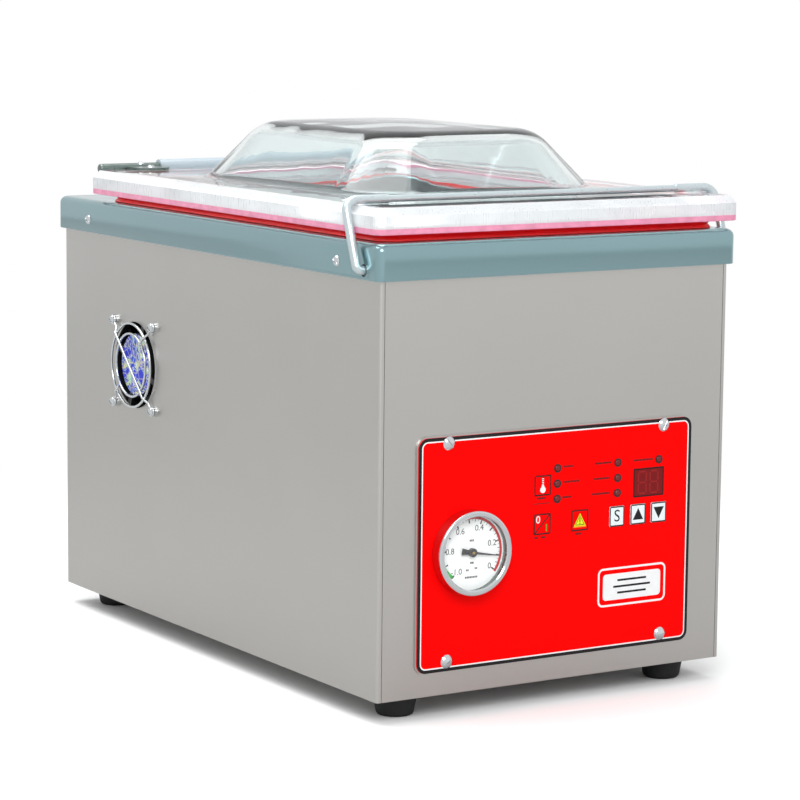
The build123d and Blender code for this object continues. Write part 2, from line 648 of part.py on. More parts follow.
def pressure_strip():
    """A silicone strip seated in the channel."""
    half = PRESSURE_STRIP_W / 2 - 0.05
    base = LID_Z - PRESSURE_BAR_H
    strip = block((-PRESSURE_BAR_L / 2, PRESSURE_BAR_L / 2), (SEAL_Y - half, SEAL_Y + half),
                  (base - PRESSURE_STRIP_H, base + 1.9))
    return strip


# --- hinge --------------------------------------------------------------------------------------
def leaf_centre():
    return SLEEVE_L / 2 + LEAF_W / 2 + 0.6


def leaf_screw_places():
    """The front screw of each leaf, into the acrylic."""
    y = HINGE_Y - LEAF_REACH + LEAF_CORNER_R
    return [(-leaf_centre(), y), (leaf_centre(), y)]


def shaft_bar():
    return rod_x((-SHAFT_L / 2, SHAFT_L / 2), HINGE_Y, HINGE_Z, SHAFT_R)


def hinge_leaf(side):
    """A plate on the lid whose rear edge curls under the shaft as a cradle."""
    c = side * leaf_centre()
    x = (c - LEAF_W / 2, c + LEAF_W / 2)
    plate = block(x, (HINGE_Y - LEAF_REACH, HINGE_Y), (LID_TOP, LID_TOP + LEAF_T))
    corners = plate.edges().filter_by(Axis.Z).sort_by(Axis.Y)[:2]
    plate = fillet(corners, LEAF_CORNER_R)
    curl = rod_x(x, HINGE_Y, HINGE_Z, SHAFT_R + LEAF_T) & block(
        x, (HINGE_Y - 2 * SHAFT_R, HINGE_Y + 2 * SHAFT_R), (HINGE_Z - 2 * SHAFT_R, LID_TOP + LEAF_T))
    leaf = plate + curl - rod_x(x, HINGE_Y, HINGE_Z, SHAFT_R + 0.02)
    leaf -= rod_z(c, HINGE_Y, (HINGE_Z - BIG, HINGE_Z), LEAF_SCREW_R + BAIL_CLEAR)
    front = leaf_screw_places()[0][1]
    return leaf - rod_z(c, front, (LID_TOP, LID_TOP + LEAF_T), LEAF_SCREW_R + BAIL_CLEAR)


def hinge_leaves():
    return group([hinge_leaf(-1), hinge_leaf(1)])


def hinge_shaft():
    """The shaft turns with the lid; its ends are rounded and its screw seats are flat."""
    shaft = shaft_bar()
    shaft = fillet(shaft.edges().filter_by(GeomType.CIRCLE), SHAFT_R * 0.45)
    for side in (-1, 1):
        c = side * leaf_centre()
        seat = rod_z(c, HINGE_Y, (HINGE_Z + SHAFT_R - SHAFT_FLAT, HINGE_Z + 2 * SHAFT_R), LEAF_SCREW_HEAD_R + 0.2)
        shaft -= seat
        shaft -= rod_z(c, HINGE_Y, (HINGE_Z - 2 * SHAFT_R, HINGE_Z + 2 * SHAFT_R), LEAF_SCREW_R + BAIL_CLEAR)
    return shaft


def hinge_screws():
    """Two screws through the shaft and two into the lid."""
    long_l = SHAFT_R * 2 + LEAF_T - SHAFT_FLAT + 1.0
    through = domed_screw(LEAF_SCREW_HEAD_R, LEAF_SCREW_HEAD_H, LEAF_SCREW_R, long_l, 20)
    short = domed_screw(LEAF_SCREW_HEAD_R, LEAF_SCREW_HEAD_H, LEAF_SCREW_R, LEAF_SCREW_L, 70)
    placed = [Pos(s * leaf_centre(), HINGE_Y, HINGE_Z + SHAFT_R - SHAFT_FLAT) * through for s in (-1, 1)]
    placed += [Pos(x, y, LID_TOP + LEAF_T) * short for x, y in leaf_screw_places()]
    return group(placed)


def hinge_sleeve():
    """A tube with a bearing at each end and room for the springs between."""
    half = SLEEVE_L / 2
    tube = rod_x((-half, half), HINGE_Y, HINGE_Z, SLEEVE_R)
    tube -= rod_x((-half, half), HINGE_Y, HINGE_Z, SHAFT_R + SHAFT_CLEAR)
    inside = half - SLEEVE_BEARING_L
    return tube - rod_x((-inside, inside), HINGE_Y, HINGE_Z, SLEEVE_BORE_R)


def hinge_springs():
    """Two torsion springs round the shaft, hidden in the sleeve."""
    mean_r = (SHAFT_R + SLEEVE_BORE_R) / 2
    length = SPRING_TURNS * SPRING_PITCH
    path = Helix(pitch=SPRING_PITCH, height=length, radius=mean_r)
    start = Plane(origin=path @ 0, z_dir=path % 0)
    coil = sweep(start * Circle(SPRING_WIRE_R), path=path)
    placed = [Pos(x, HINGE_Y, HINGE_Z) * Rot(0, 90, 0) * coil for x in (8.0, -8.0 - length)]
    return group(placed)


def post_screw_y():
    return HINGE_Y + POST_FOOT_L - 7.0


def hinge_post(x):
    """A bracket on the deck that carries the sleeve from below and behind."""
    xs = (x - POST_W / 2, x + POST_W / 2)
    upright = block(xs, (HINGE_Y, HINGE_Y + SLEEVE_R + POST_T), (DECK_Z, HINGE_Z + SLEEVE_R / 2))
    foot = block(xs, (HINGE_Y, HINGE_Y + POST_FOOT_L), (DECK_Z, DECK_Z + POST_T))
    post = upright + foot - rod_x(xs, HINGE_Y, HINGE_Z, SLEEVE_R + 0.02)
    return post - rod_z(x, post_screw_y(), (DECK_Z, DECK_Z + POST_T), CAP_SCREW_R + BAIL_CLEAR)


def hinge_posts():
    screw = domed_screw(CAP_SCREW_HEAD_R, CAP_SCREW_HEAD_H, CAP_SCREW_R, POST_SCREW_L, 30)
    pieces = [hinge_post(x) for x in (-POST_X, POST_X)]
    pieces += [Pos(x, post_screw_y(), DECK_Z + POST_T) * screw for x in (-POST_X, POST_X)]
    return group(pieces)


# --- bail ---------------------------------------------------------------------------------------
def bail():
    """A bent wire over the front of the lid, its ends turned into the cap's sides."""
    right = [(BAIL_END_X, BAIL_Y, BAIL_Z), (BAIL_HALF_W, BAIL_Y, BAIL_Z), (BAIL_HALF_W, BAR_Y, BAR_Z)]
    left = [(-x, y, z) for x, y, z in reversed(right)]
    radii = [BAIL_END_BEND_R, BAIL_BEND_R, BAIL_BEND_R, BAIL_END_BEND_R]
    path = FilletPolyline(*(right + left), radius=radii)
    wire = sweep(Plane(origin=path @ 0, z_dir=path % 0) * Circle(BAIL_ROD_R), path=path)
    middle = (-BAIL_BAR_HALF, BAIL_BAR_HALF)
    wire -= rod_x(middle, BAR_Y, BAR_Z, 2 * BAIL_ROD_R)
    return wire + rod_x(middle, BAR_Y, BAR_Z, BAIL_BAR_R)


def bail_bushes():
    """A flanged bush behind each side panel."""
    x = HALF_W - SHEET
    bush = rod_x((x - BUSH_L, x), BAIL_Y, BAIL_Z, BUSH_R)
    bush += rod_x((x - BUSH_FLANGE_T, x), BAIL_Y, BAIL_Z, BUSH_FLANGE_R)
    bush -= rod_x((x - BUSH_L, x), BAIL_Y, BAIL_Z, BAIL_ROD_R + BAIL_CLEAR)
    return both_sides(bush)


# --- control panel --------------------------------------------------------------------------------
def panel_screw_places():
    return [(sx * PANEL_SCREW_X, PLATE_Z0 + dz) for sx in (-1, 1) for dz in (PANEL_SCREW_LOW, PANEL_SCREW_TOP)]


def key_limits(name, grow):
    x, z, w, h = KEYS[name]
    return (x - grow, x + w + grow), (PLATE_Z0 + z - grow, PLATE_Z0 + z + h + grow)


def panel_holes(y, gauge_r, led_r, display_inset):
    """Everything that is cut through the control plate or its overlay."""
    holes = [rod_y(GAUGE_X, y, GAUGE_CZ, gauge_r)]
    holes += [rod_y(x, y, z, FOOT_BORE_R) for x, z in panel_screw_places()]
    holes += [rod_y(x, y, PLATE_Z0 + z, led_r) for x, z in LEDS]
    x, z, w, h = DISPLAY
    holes.append(block((x + display_inset, x + w - display_inset), y,
                       (PLATE_Z0 + z + display_inset, PLATE_Z0 + z + h - display_inset)))
    for name in KEYS:
        kx, kz = key_limits(name, KEY_CLEAR)
        holes.append(rounded(block(kx, y, kz), Axis.Y, KEY_R))
    return holes


def control_plate():
    y = (PLATE_FACE, FRONT)
    plate = block((-PLATE_W / 2, PLATE_W / 2), y, (PLATE_Z0, PLATE_Z0 + PLATE_H))
    plate = rounded(plate, Axis.Y, PLATE_R)
    for hole in panel_holes(y, BEZEL_R - BEZEL_T + KEY_CLEAR, LED_R + 0.45, DISPLAY_LEDGE):
        plate -= hole
    return plate


def panel_overlay():
    y = (OVERLAY_FACE, PLATE_FACE)
    inset = OVERLAY_INSET
    sheet = block((-PLATE_W / 2 + inset, PLATE_W / 2 - inset), y,
                  (PLATE_Z0 + inset, PLATE_Z0 + PLATE_H - inset))
    sheet = rounded(sheet, Axis.Y, PLATE_R - inset)
    for hole in panel_holes(y, BEZEL_R - BEZEL_T + KEY_CLEAR, LED_R + 0.45, -0.1):
        sheet -= hole
    return sheet


def panel_screws():
    screw = domed_screw(PANEL_SCREW_HEAD_R, PANEL_SCREW_HEAD_H, 2.5, 10.0, 0)
    turns = (35, -50, 10, 65)
    placed = []
    for (x, z), turn in zip(panel_screw_places(), turns):
        placed.append(Pos(x, OVERLAY_FACE, z) * Rot(90, 0, 0) * Rot(0, 0, turn) * screw)
    return group(placed)


def led_bezels():
    rings = []
    for x, z in LEDS:
        ring = rod_y(x, (OVERLAY_FACE - 0.5, OVERLAY_FACE), PLATE_Z0 + z, LED_RING_R)
        ring += rod_y(x, (OVERLAY_FACE, FRONT), PLATE_Z0 + z, LED_R + 0.4)
        rings.append(ring - rod_y(x, (OVERLAY_FACE - 0.5, FRONT), PLATE_Z0 + z, LED_R + 0.05))
    return group(rings)


def led_lenses():
    lenses = []
    for x, z in LEDS:
        lens = rod_y(x, (OVERLAY_FACE - LED_PROUD, BOARD_FACE), PLATE_Z0 + z, LED_R)
        lenses.append(fillet(lens.edges().sort_by(Axis.Y)[0], LED_PROUD))
    return group(lenses)


def display_window():
    x, z, w, h = DISPLAY
    pane = block((x, x + w), (OVERLAY_FACE, PLATE_FACE), (PLATE_Z0 + z, PLATE_Z0 + z + h))
    return rounded(pane, Axis.Y, 1.0)


def panel_key(name):
    """A key cap with a wider flange behind the plate, so that it can't fall out."""
    x, z = key_limits(name, 0)
    cap = rounded(block(x, (OVERLAY_FACE - KEY_PROUD, FRONT + 1.8), z), Axis.Y, KEY_R - KEY_CLEAR)
    flange_x, flange_z = key_limits(name, KEY_FLANGE)
    return cap + block(flange_x, (FRONT + 0.5, FRONT + 1.8), flange_z)


def control_board():
    """The printed board with switches behind the keys, relays and connectors."""
    x = (BOARD_X - BOARD_W / 2, BOARD_X + BOARD_W / 2)
    z = (BOARD_CZ - BOARD_H / 2, BOARD_CZ + BOARD_H / 2)
    back = BOARD_FACE + BOARD_T
    board = block(x, (BOARD_FACE, back), z)
    for sx in (-1, 1):
        for sz in (-1, 1):
            post = rod_y(BOARD_X + sx * (BOARD_W / 2 - 3.5), (FRONT + SHEET, BOARD_FACE),
                         BOARD_CZ + sz * (BOARD_H / 2 - 3.5), 2.5)
            board += post
    for name in KEYS:
        kx, kz = key_limits(name, -4.5)
        board += block(kx, (FRONT + 1.8 + KEY_TRAVEL + 0.1, BOARD_FACE), kz)
    dx, dz, w, h = DISPLAY
    board += block((dx + 2, dx + w - 2), (FRONT + 0.5, BOARD_FACE),
                   (PLATE_Z0 + dz + 2, PLATE_Z0 + dz + h - 2))
    for i in range(3):
        cx = BOARD_X - 50 + i * 32
        board += block((cx, cx + 20), (back, back + 16), (BOARD_CZ - 30, BOARD_CZ - 14))
        board += rod_y(cx + 8, (back, back + 14), BOARD_CZ + 24, 6)
    board += block((BOARD_X + 46, BOARD_X + 74), (back, back + 10), (BOARD_CZ - 8, BOARD_CZ + 4))
    return board


# --- vacuum gauge -----------------------------------------------------------------------------
def gauge_disc(y, r):
    return rod_y(GAUGE_X, y, GAUGE_CZ, r)


def gauge_case():
    front = BEZEL_FACE + CASE_T + GLASS_T + 0.2
    back = FRONT + CASE_BACK
    case = gauge_disc((front, back), CASE_R) - gauge_disc((front, back - CASE_T), CASE_R - CASE_T)
    stem = gauge_disc((back, back + 9), 7) + gauge_disc((back + 9, back + 20), 4)
    return case + stem - gauge_disc((back + 4, back + 20), 2)


def gauge_bezel():
    """A deep polished ring with a front lip."""
    ring = gauge_disc((BEZEL_FACE, OVERLAY_FACE), BEZEL_R)
    ring = fillet(ring.edges().filter_by(GeomType.CIRCLE).sort_by(Axis.Y)[0], 1.6)
    ring -= gauge_disc((BEZEL_FACE + CASE_T, OVERLAY_FACE), BEZEL_R - BEZEL_T)
    return ring - gauge_disc((BEZEL_FACE, OVERLAY_FACE), BEZEL_R - BEZEL_LIP)


def gauge_glass():
    return gauge_disc((BEZEL_FACE + CASE_T + 0.1, BEZEL_FACE + CASE_T + 0.1 + GLASS_T), CASE_R)


def gauge_dial():
    dial = gauge_disc((DIAL_Y, DIAL_Y + DIAL_T), CASE_R - CASE_T - 0.05)
    return dial - gauge_disc((DIAL_Y, DIAL_Y + DIAL_T), SPINDLE_R + 0.1)


def gauge_needle():
    """A tapered pointer with a broad tail and a hub, on its spindle."""
    y = (DIAL_Y - 2.0 - NEEDLE_T, DIAL_Y - 2.0)
    points = [(NEEDLE_L, 0.3), (0, 1.1), (-NEEDLE_TAIL, 2.6), (-NEEDLE_TAIL, -2.6), (0, -1.1), (NEEDLE_L, -0.3)]
    face = make_face(Polyline(*points, close=True))
    pointer = extrude(Plane.XZ * face, amount=NEEDLE_T)
    pointer = Pos(GAUGE_X, y[1], GAUGE_CZ) * Rot(0, -NEEDLE_ANGLE, 0) * pointer
    hub = gauge_disc((y[0] - 0.6, DIAL_Y - 0.5), 3.4)
    return pointer + hub + gauge_disc((DIAL_Y - 0.5, DIAL_Y + 12), SPINDLE_R)


# --- fan ----------------------------------------------------------------------------------------
def fan_corners():
    half = FAN_PITCH / 2
    return [(sy * half, sz * half) for sy in (-1, 1) for sz in (-1, 1)]


def fan_frame():
    """A square frame with a round duct; four arms carry the motor's base plate."""
    half = FAN_SIZE / 2
    x = (WALL_IN, WALL_IN + FAN_DEPTH)
    frame = block(x, (FAN_Y - half, FAN_Y + half), (FAN_CZ - half, FAN_CZ + half))
    frame = rounded(frame, Axis.X, 5)
    frame -= rod_x(x, FAN_Y, FAN_CZ, FAN_BORE_R)
    arms = block((WALL_IN, WALL_IN + 3), (FAN_Y - FAN_BORE_R - 0.5, FAN_Y + FAN_BORE_R + 0.5),
                 (FAN_CZ - 2.5, FAN_CZ + 2.5))
    for turn in (20, 110):
        frame += Pos(0, FAN_Y, FAN_CZ) * Rot(turn, 0, 0) * Pos(0, -FAN_Y, -FAN_CZ) * arms
    frame += rod_x((WALL_IN, WALL_IN + 4), FAN_Y, FAN_CZ, FAN_HUB_R)
    frame += rod_x((WALL_IN + 4, WALL_IN + 16), FAN_Y, FAN_CZ, 2.0)
    for dy, dz in fan_corners():
        frame -= rod_x(x, FAN_Y + dy, FAN_CZ + dz, FAN_SCREW_R + BAIL_CLEAR)
    return frame


def fan_rotor():
    """A hub with twisted blades that turns on the frame's spindle."""
    x = (WALL_IN + 4.6, WALL_IN + FAN_DEPTH - 2)
    centre = Pos(sum(x) / 2, FAN_Y, FAN_CZ)
    rotor = rod_x(x, FAN_Y, FAN_CZ, FAN_HUB_R)
    tip = FAN_BORE_R - FAN_TIP_GAP
    blade = Pos(0, 0, (FAN_HUB_R - 1.5 + tip + 3) / 2) * Rot(0, 0, 38) * Box(
        (x[1] - x[0]) / cos(radians(38)) * 0.95, FAN_BLADE_T, tip + 3 - FAN_HUB_R + 1.5)
    keep = rod_x(x, FAN_Y, FAN_CZ, tip)
    for i in range(FAN_BLADES):
        rotor += (centre * Rot(i * 360 / FAN_BLADES, 0, 0) * blade) & keep
    return rotor - rod_x((x[0], WALL_IN + 16.5), FAN_Y, FAN_CZ, 2.06)


def fan_guard():
    """Two wire rings on two crossing wires, held by four eyelets on spacers."""
    x = -HALF_W - GUARD_STAND - GUARD_WIRE_R
    centre = Pos(x, FAN_Y, FAN_CZ) * Rot(0, 90, 0)
    guard = centre * Torus(GUARD_RINGS[0], GUARD_WIRE_R) + centre * Torus(GUARD_RINGS[1], GUARD_WIRE_R)
    reach = FAN_PITCH / sqrt(2) - GUARD_EYELET_R + 1
    back = x + 1.2 * GUARD_WIRE_R
    for turn in (45, 135):
        bar = rod_y(back, (FAN_Y - reach, FAN_Y + reach), FAN_CZ, GUARD_WIRE_R)
        guard += Pos(0, FAN_Y, FAN_CZ) * Rot(turn, 0, 0) * Pos(0, -FAN_Y, -FAN_CZ) * bar
    for dy, dz in fan_corners():
        eyelet = rod_x((back - 1.2, back + 1.2), FAN_Y + dy, FAN_CZ + dz, GUARD_EYELET_R)
        guard += eyelet
        guard -= rod_x((back - 3, back + 3), FAN_Y + dy, FAN_CZ + dz, FAN_SCREW_R + BAIL_CLEAR)
    return guard


def fan_screws():
    """Screws through the guard, spacers and wall into the fan, with their nuts."""
    face = -HALF_W - GUARD_STAND + 0.2 * GUARD_WIRE_R
    pieces = []
    for dy, dz in fan_corners():
        y, z = FAN_Y + dy, FAN_CZ + dz
        screw = domed_screw(3.8, 2.2, FAN_SCREW_R, FAN_DEPTH + GUARD_STAND + 8, 40)
        pieces.append(Pos(face - 1.25, y, z) * Rot(0, -90, 0) * screw)
        spacer = rod_x((face + 1.25, -HALF_W), y, z, GUARD_EYELET_R - 0.4)
        pieces.append(spacer - rod_x((face, -HALF_W), y, z, FAN_SCREW_R + BAIL_CLEAR))
        nut = Rot(0, 90, 0) * extrude(RegularPolygon(4.2, 6), amount=3.2)
        nut -= rod_x((-1, 4), 0, 0, FAN_SCREW_R + BAIL_CLEAR)
        pieces.append(Pos(WALL_IN + FAN_DEPTH, y, z) * nut)
    return group(pieces)


# --- sealing bar ----------------------------------------------------------------------------------
def seal_bar():
    """An aluminium bar across the front of the chamber."""
    x = (-SEAL_L / 2, SEAL_L / 2)
    y = (SEAL_Y - SEAL_W / 2, SEAL_Y + SEAL_W / 2)
    z = (SEAL_TOP - ELEMENT_H - SEAL_H, SEAL_TOP - ELEMENT_H)
    bar = block(x, y, z)
    for sign in (-1, 1):
        slot_y = sorted((SEAL_Y + sign * SEAL_W / 2, SEAL_Y + sign * (SEAL_W / 2 - 2)))
        bar -= block(x, slot_y, (z[0] + 9, z[0] + 14))
    return bar


def seal_element():
    """The heating wires under their coated tape, on top of the bar."""
    x = (-SEAL_L / 2, SEAL_L / 2)
    base = SEAL_TOP - ELEMENT_H
    tape = block(x, (SEAL_Y - SEAL_W / 2, SEAL_Y + SEAL_W / 2), (base, base + 0.4))
    for dy in (-2.5, 2.5):
        tape += block(x, (SEAL_Y + dy - 1, SEAL_Y + dy + 1), (base + 0.4, SEAL_TOP))
    return tape


def lift_rods():
    top = SEAL_TOP - ELEMENT_H - SEAL_H
    return group([rod_z(x, SEAL_Y, (CHAMBER_Z + 8, top), LIFT_ROD_R) for x in (-LIFT_X, LIFT_X)])


def lift_cylinders():
    pieces = []
    for x in (-LIFT_X, LIFT_X):
        top = CHAMBER_Z + LIFT_CYL_H
        cylinder = rod_z(x, SEAL_Y, (CHAMBER_Z, top), LIFT_CYL_R)
        cylinder += rod_z(x, SEAL_Y, (CHAMBER_Z, CHAMBER_Z + 3), LIFT_CYL_R + 1.5)
        pieces.append(cylinder - rod_z(x, SEAL_Y, (CHAMBER_Z + 5, top), LIFT_ROD_R + LIFT_CLEAR))
    return group(pieces)


# --- vacuum pump ----------------------------------------------------------------------------------
def pump_housing():
    """A cast oil-sealed pump block with its rotor chamber and an end cover."""
    x = (PUMP_X - PUMP_W / 2, PUMP_X + PUMP_W / 2)
    z = (PUMP_FOOT_Z, PUMP_Z + PUMP_TOP)
    body = rounded(block(x, (PUMP_Y0, PUMP_Y1), z), Axis.Y, 10)
    cover = rounded(block((x[0] + 8, x[1] - 8), (PUMP_Y0 - 10, PUMP_Y0), (z[0] + 8, z[1] - 8)), Axis.Y, 10)
    body += cover
    body -= rod_y(PUMP_X, (PUMP_Y0 + 8, PUMP_Y1 - 14), PUMP_Z + ROTOR_OFFSET, ROTOR_BORE_R)
    body -= rod_y(PUMP_X, (PUMP_Y1 - 14, PUMP_Y1), PUMP_Z, MOTOR_SHAFT_R + 0.05)
    body += rod_z(PUMP_X, PUMP_Y0 + 40, (z[1], z[1] + 12), 11)
    body -= rod_z(PUMP_X, PUMP_Y0 + 40, (PUMP_Z + 30, z[1] + 12), HOSE_BORE_R)
    for cy in (PUMP_Y0 + 14, PUMP_Y1 - 14):
        body += block((x[0] - 8, x[1] + 8), (cy - 8, cy + 8), (z[0] - 6, z[0]))
    return body


def motor_housing():
    """A finned motor frame with its fan cowl at the rear."""
    y = (PUMP_Y1, MOTOR_Y1)
    frame = rod_y(PUMP_X, y, PUMP_Z, MOTOR_R - MOTOR_FIN_H)
    fin = block((PUMP_X - 1, PUMP_X + 1), (y[0] + 12, y[1] - 10),
                (PUMP_Z + MOTOR_R - MOTOR_FIN_H - 2, PUMP_Z + MOTOR_R))
    for i in range(MOTOR_FINS):
        turn = Pos(PUMP_X, 0, PUMP_Z) * Rot(0, i * 360 / MOTOR_FINS, 0) * Pos(-PUMP_X, 0, -PUMP_Z)
        frame += turn * fin
    for cy in (y[0], y[1] - 10):
        frame += rod_y(PUMP_X, (cy, cy + 10), PUMP_Z, MOTOR_R - 1)
    cowl_y = (MOTOR_Y1, MOTOR_Y1 + COWL_L)
    cowl = rod_y(PUMP_X, cowl_y, PUMP_Z, MOTOR_R - 1)
    cowl -= rod_y(PUMP_X, (cowl_y[0], cowl_y[1] - 1.5), PUMP_Z, MOTOR_R - 2.5)
    for i in range(8):
        turn = Pos(PUMP_X, 0, PUMP_Z) * Rot(0, i * 45, 0)
        cowl -= turn * block((12, 44), (cowl_y[1] - 1.5, cowl_y[1]), (-2.5, 2.5))
    bore = rod_y(PUMP_X, (y[0], MOTOR_Y1), PUMP_Z, MOTOR_SHAFT_R + 0.05)
    terminal = block((PUMP_X - 28, PUMP_X + 28), (y[0] + 40, y[0] + 92), (PUMP_Z + MOTOR_R - 8, PUMP_Z + MOTOR_R + 22))
    return frame + cowl + terminal - bore


def motor_shaft():
    """The shaft with the pump's rotor at one end and the cooling fan at the other."""
    shaft = rod_y(PUMP_X, (PUMP_Y0 + 9, MOTOR_Y1 + 14), PUMP_Z, MOTOR_SHAFT_R)
    shaft += rod_y(PUMP_X, (PUMP_Y0 + 9, PUMP_Y1 - 15), PUMP_Z, ROTOR_R)
    for i in range(3):
        turn = Pos(PUMP_X, 0, PUMP_Z) * Rot(0, i * 120, 0)
        shaft -= turn * block((-1.6, 1.6), (PUMP_Y0 + 9, PUMP_Y1 - 15), (ROTOR_R - 16, ROTOR_R + 1))
    hub = rod_y(PUMP_X, (MOTOR_Y1 + 4, MOTOR_Y1 + 22), PUMP_Z, 14)
    for i in range(7):
        turn = Pos(PUMP_X, 0, PUMP_Z) * Rot(0, i * 360 / 7, 0)
        hub += turn * block((12, MOTOR_R - 6), (MOTOR_Y1 + 5, MOTOR_Y1 + 20), (-1, 1))
    return shaft + hub


def pump_mounts():
    """Four rubber buffers between the pump's feet and the base plate."""
    pieces = []
    for x in (PUMP_X - PUMP_W / 2 + 2, PUMP_X + PUMP_W / 2 - 2):
        for y in (PUMP_Y0 + 14, PUMP_Y1 - 14):
            pieces.append(rod_z(x, y, (FOOT_H + BASE_T, PUMP_FOOT_Z - 6), MOUNT_R))
    return group(pieces)


def exhaust_filter():
    """The oil-mist filter beside the pump, along the machine, on its flange."""
    x = PUMP_X - PUMP_W / 2 - FILTER_R - 8
    y0 = PUMP_Y0 + 6
    can = rod_y(x, (y0, y0 + FILTER_L), PUMP_Z, FILTER_R)
    can += rod_y(x, (y0 - 8, y0), PUMP_Z, FILTER_R - 6)
    can += rod_x((x, PUMP_X - PUMP_W / 2), y0 + FILTER_L / 2, PUMP_Z, 12)
    return can


def oil_sight_glass():
    """A round window in the pump's end cover, with its ring."""
    y = (PUMP_Y0 - 14, PUMP_Y0 - 10)
    return rod_y(PUMP_X + 30, y, PUMP_FOOT_Z + 34, 14)


def vacuum_hose():
    """From the pump's inlet, under the chamber, up to the valve block."""
    top = PUMP_Z + PUMP_TOP + 12
    points = [(PUMP_X, PUMP_Y0 + 40, top), (PUMP_X, PUMP_Y0 + 40, HOSE_LEVEL),
              (PUMP_X, VALVE_Y + 14, HOSE_LEVEL), (PUMP_X, VALVE_Y + 14, VALVE_Z)]
    path = FilletPolyline(*points, radius=HOSE_BEND_R)
    section = Circle(HOSE_R) - Circle(HOSE_BORE_R)
    return sweep(Plane(origin=path @ 0, z_dir=path % 0) * section, path=path)


def solenoid_valves():
    """Three coils on a brass block, joined to the suction port."""
    z = (VALVE_Z, VALVE_Z + VALVE_H)
    valves = block((-VALVE_HALF, VALVE_HALF), (VALVE_Y, VALVE_Y + VALVE_H), z)
    valves += rod_y(0, (CHAMBER_Y1 + TUB_T, VALVE_Y), DECK_Z - PORT_DROP, PORT_R + 3)
    for x in (-42, 0, 42):
        valves += rounded(block((x - 14, x + 14), (VALVE_Y + 28, VALVE_Y + 62), (z[0] - 4, z[1] + 4)), Axis.Y, 4)
        valves += rod_y(x, (VALVE_Y + 62, VALVE_Y + 68), (z[0] + z[1]) / 2, 5)
    return valves


def transformer():
    """The sealing transformer on the base plate: a core with its winding."""
    w, d, h = TRANSFORMER
    x0 = HALF_W - SHEET - 14 - w
    y0 = FRONT + 60
    z0 = FOOT_H + BASE_T
    core = block((x0, x0 + w), (y0 + 10, y0 + d - 10), (z0, z0 + h))
    coil = rounded(block((x0 + 10, x0 + w - 10), (y0, y0 + d), (z0 + 10, z0 + h - 10)), Axis.Z, 6)
    return core + coil


# --- mains side -----------------------------------------------------------------------------------
def mains_inlet():
    """A three-pin appliance inlet with its flange and terminals."""
    y0 = HALF_D + INLET_PROUD
    flange = block((INLET_X - INLET_W / 2 - INLET_FLANGE, INLET_X + INLET_W / 2 + INLET_FLANGE),
                   (HALF_D, y0), (INLET_Z - INLET_H / 2 - 1.5, INLET_Z + INLET_H / 2 + 1.5))
    flange = rounded(flange, Axis.Y, 4)
    half_w = INLET_W / 2 - KEY_CLEAR
    half_h = INLET_H / 2 - KEY_CLEAR
    body = block((INLET_X - half_w, INLET_X + half_w), (y0 - INLET_DEPTH, HALF_D),
                 (INLET_Z - half_h, INLET_Z + half_h))
    inlet = flange + body
    recess = block((INLET_X - INLET_RECESS_W / 2, INLET_X + INLET_RECESS_W / 2), (y0 - INLET_RECESS, y0),
                   (INLET_Z - INLET_RECESS_H / 2, INLET_Z + INLET_RECESS_H / 2))
    inlet -= rounded(recess, Axis.Y, 2)
    for dx, dz in ((-PIN_PITCH, -2), (0, 2), (PIN_PITCH, -2)):
        pin = (INLET_X + dx, INLET_Z + dz)
        inlet += block((pin[0] - 1, pin[0] + 1), (y0 - INLET_DEPTH - 7, y0 - 3), (pin[1] - 2, pin[1] + 2))
    return inlet


def fuse_holder():
    """A screw-cap fuse holder beside the inlet."""
    holder = rod_y(FUSE_X, (HALF_D, HALF_D + 2), INLET_Z, FUSE_CAP_R + 1)
    cap = rod_y(FUSE_X, (HALF_D + 2, HALF_D + FUSE_PROUD), INLET_Z, FUSE_CAP_R)
    cap = fillet(cap.edges().sort_by(Axis.Y)[-1], 1.2)
    cap -= block((FUSE_X - 5, FUSE_X + 5), (HALF_D + FUSE_PROUD - 1.2, HALF_D + FUSE_PROUD),
                 (INLET_Z - 0.8, INLET_Z + 0.8))
    return holder + cap + rod_y(FUSE_X, (HALF_D - 30, HALF_D), INLET_Z, FUSE_R)


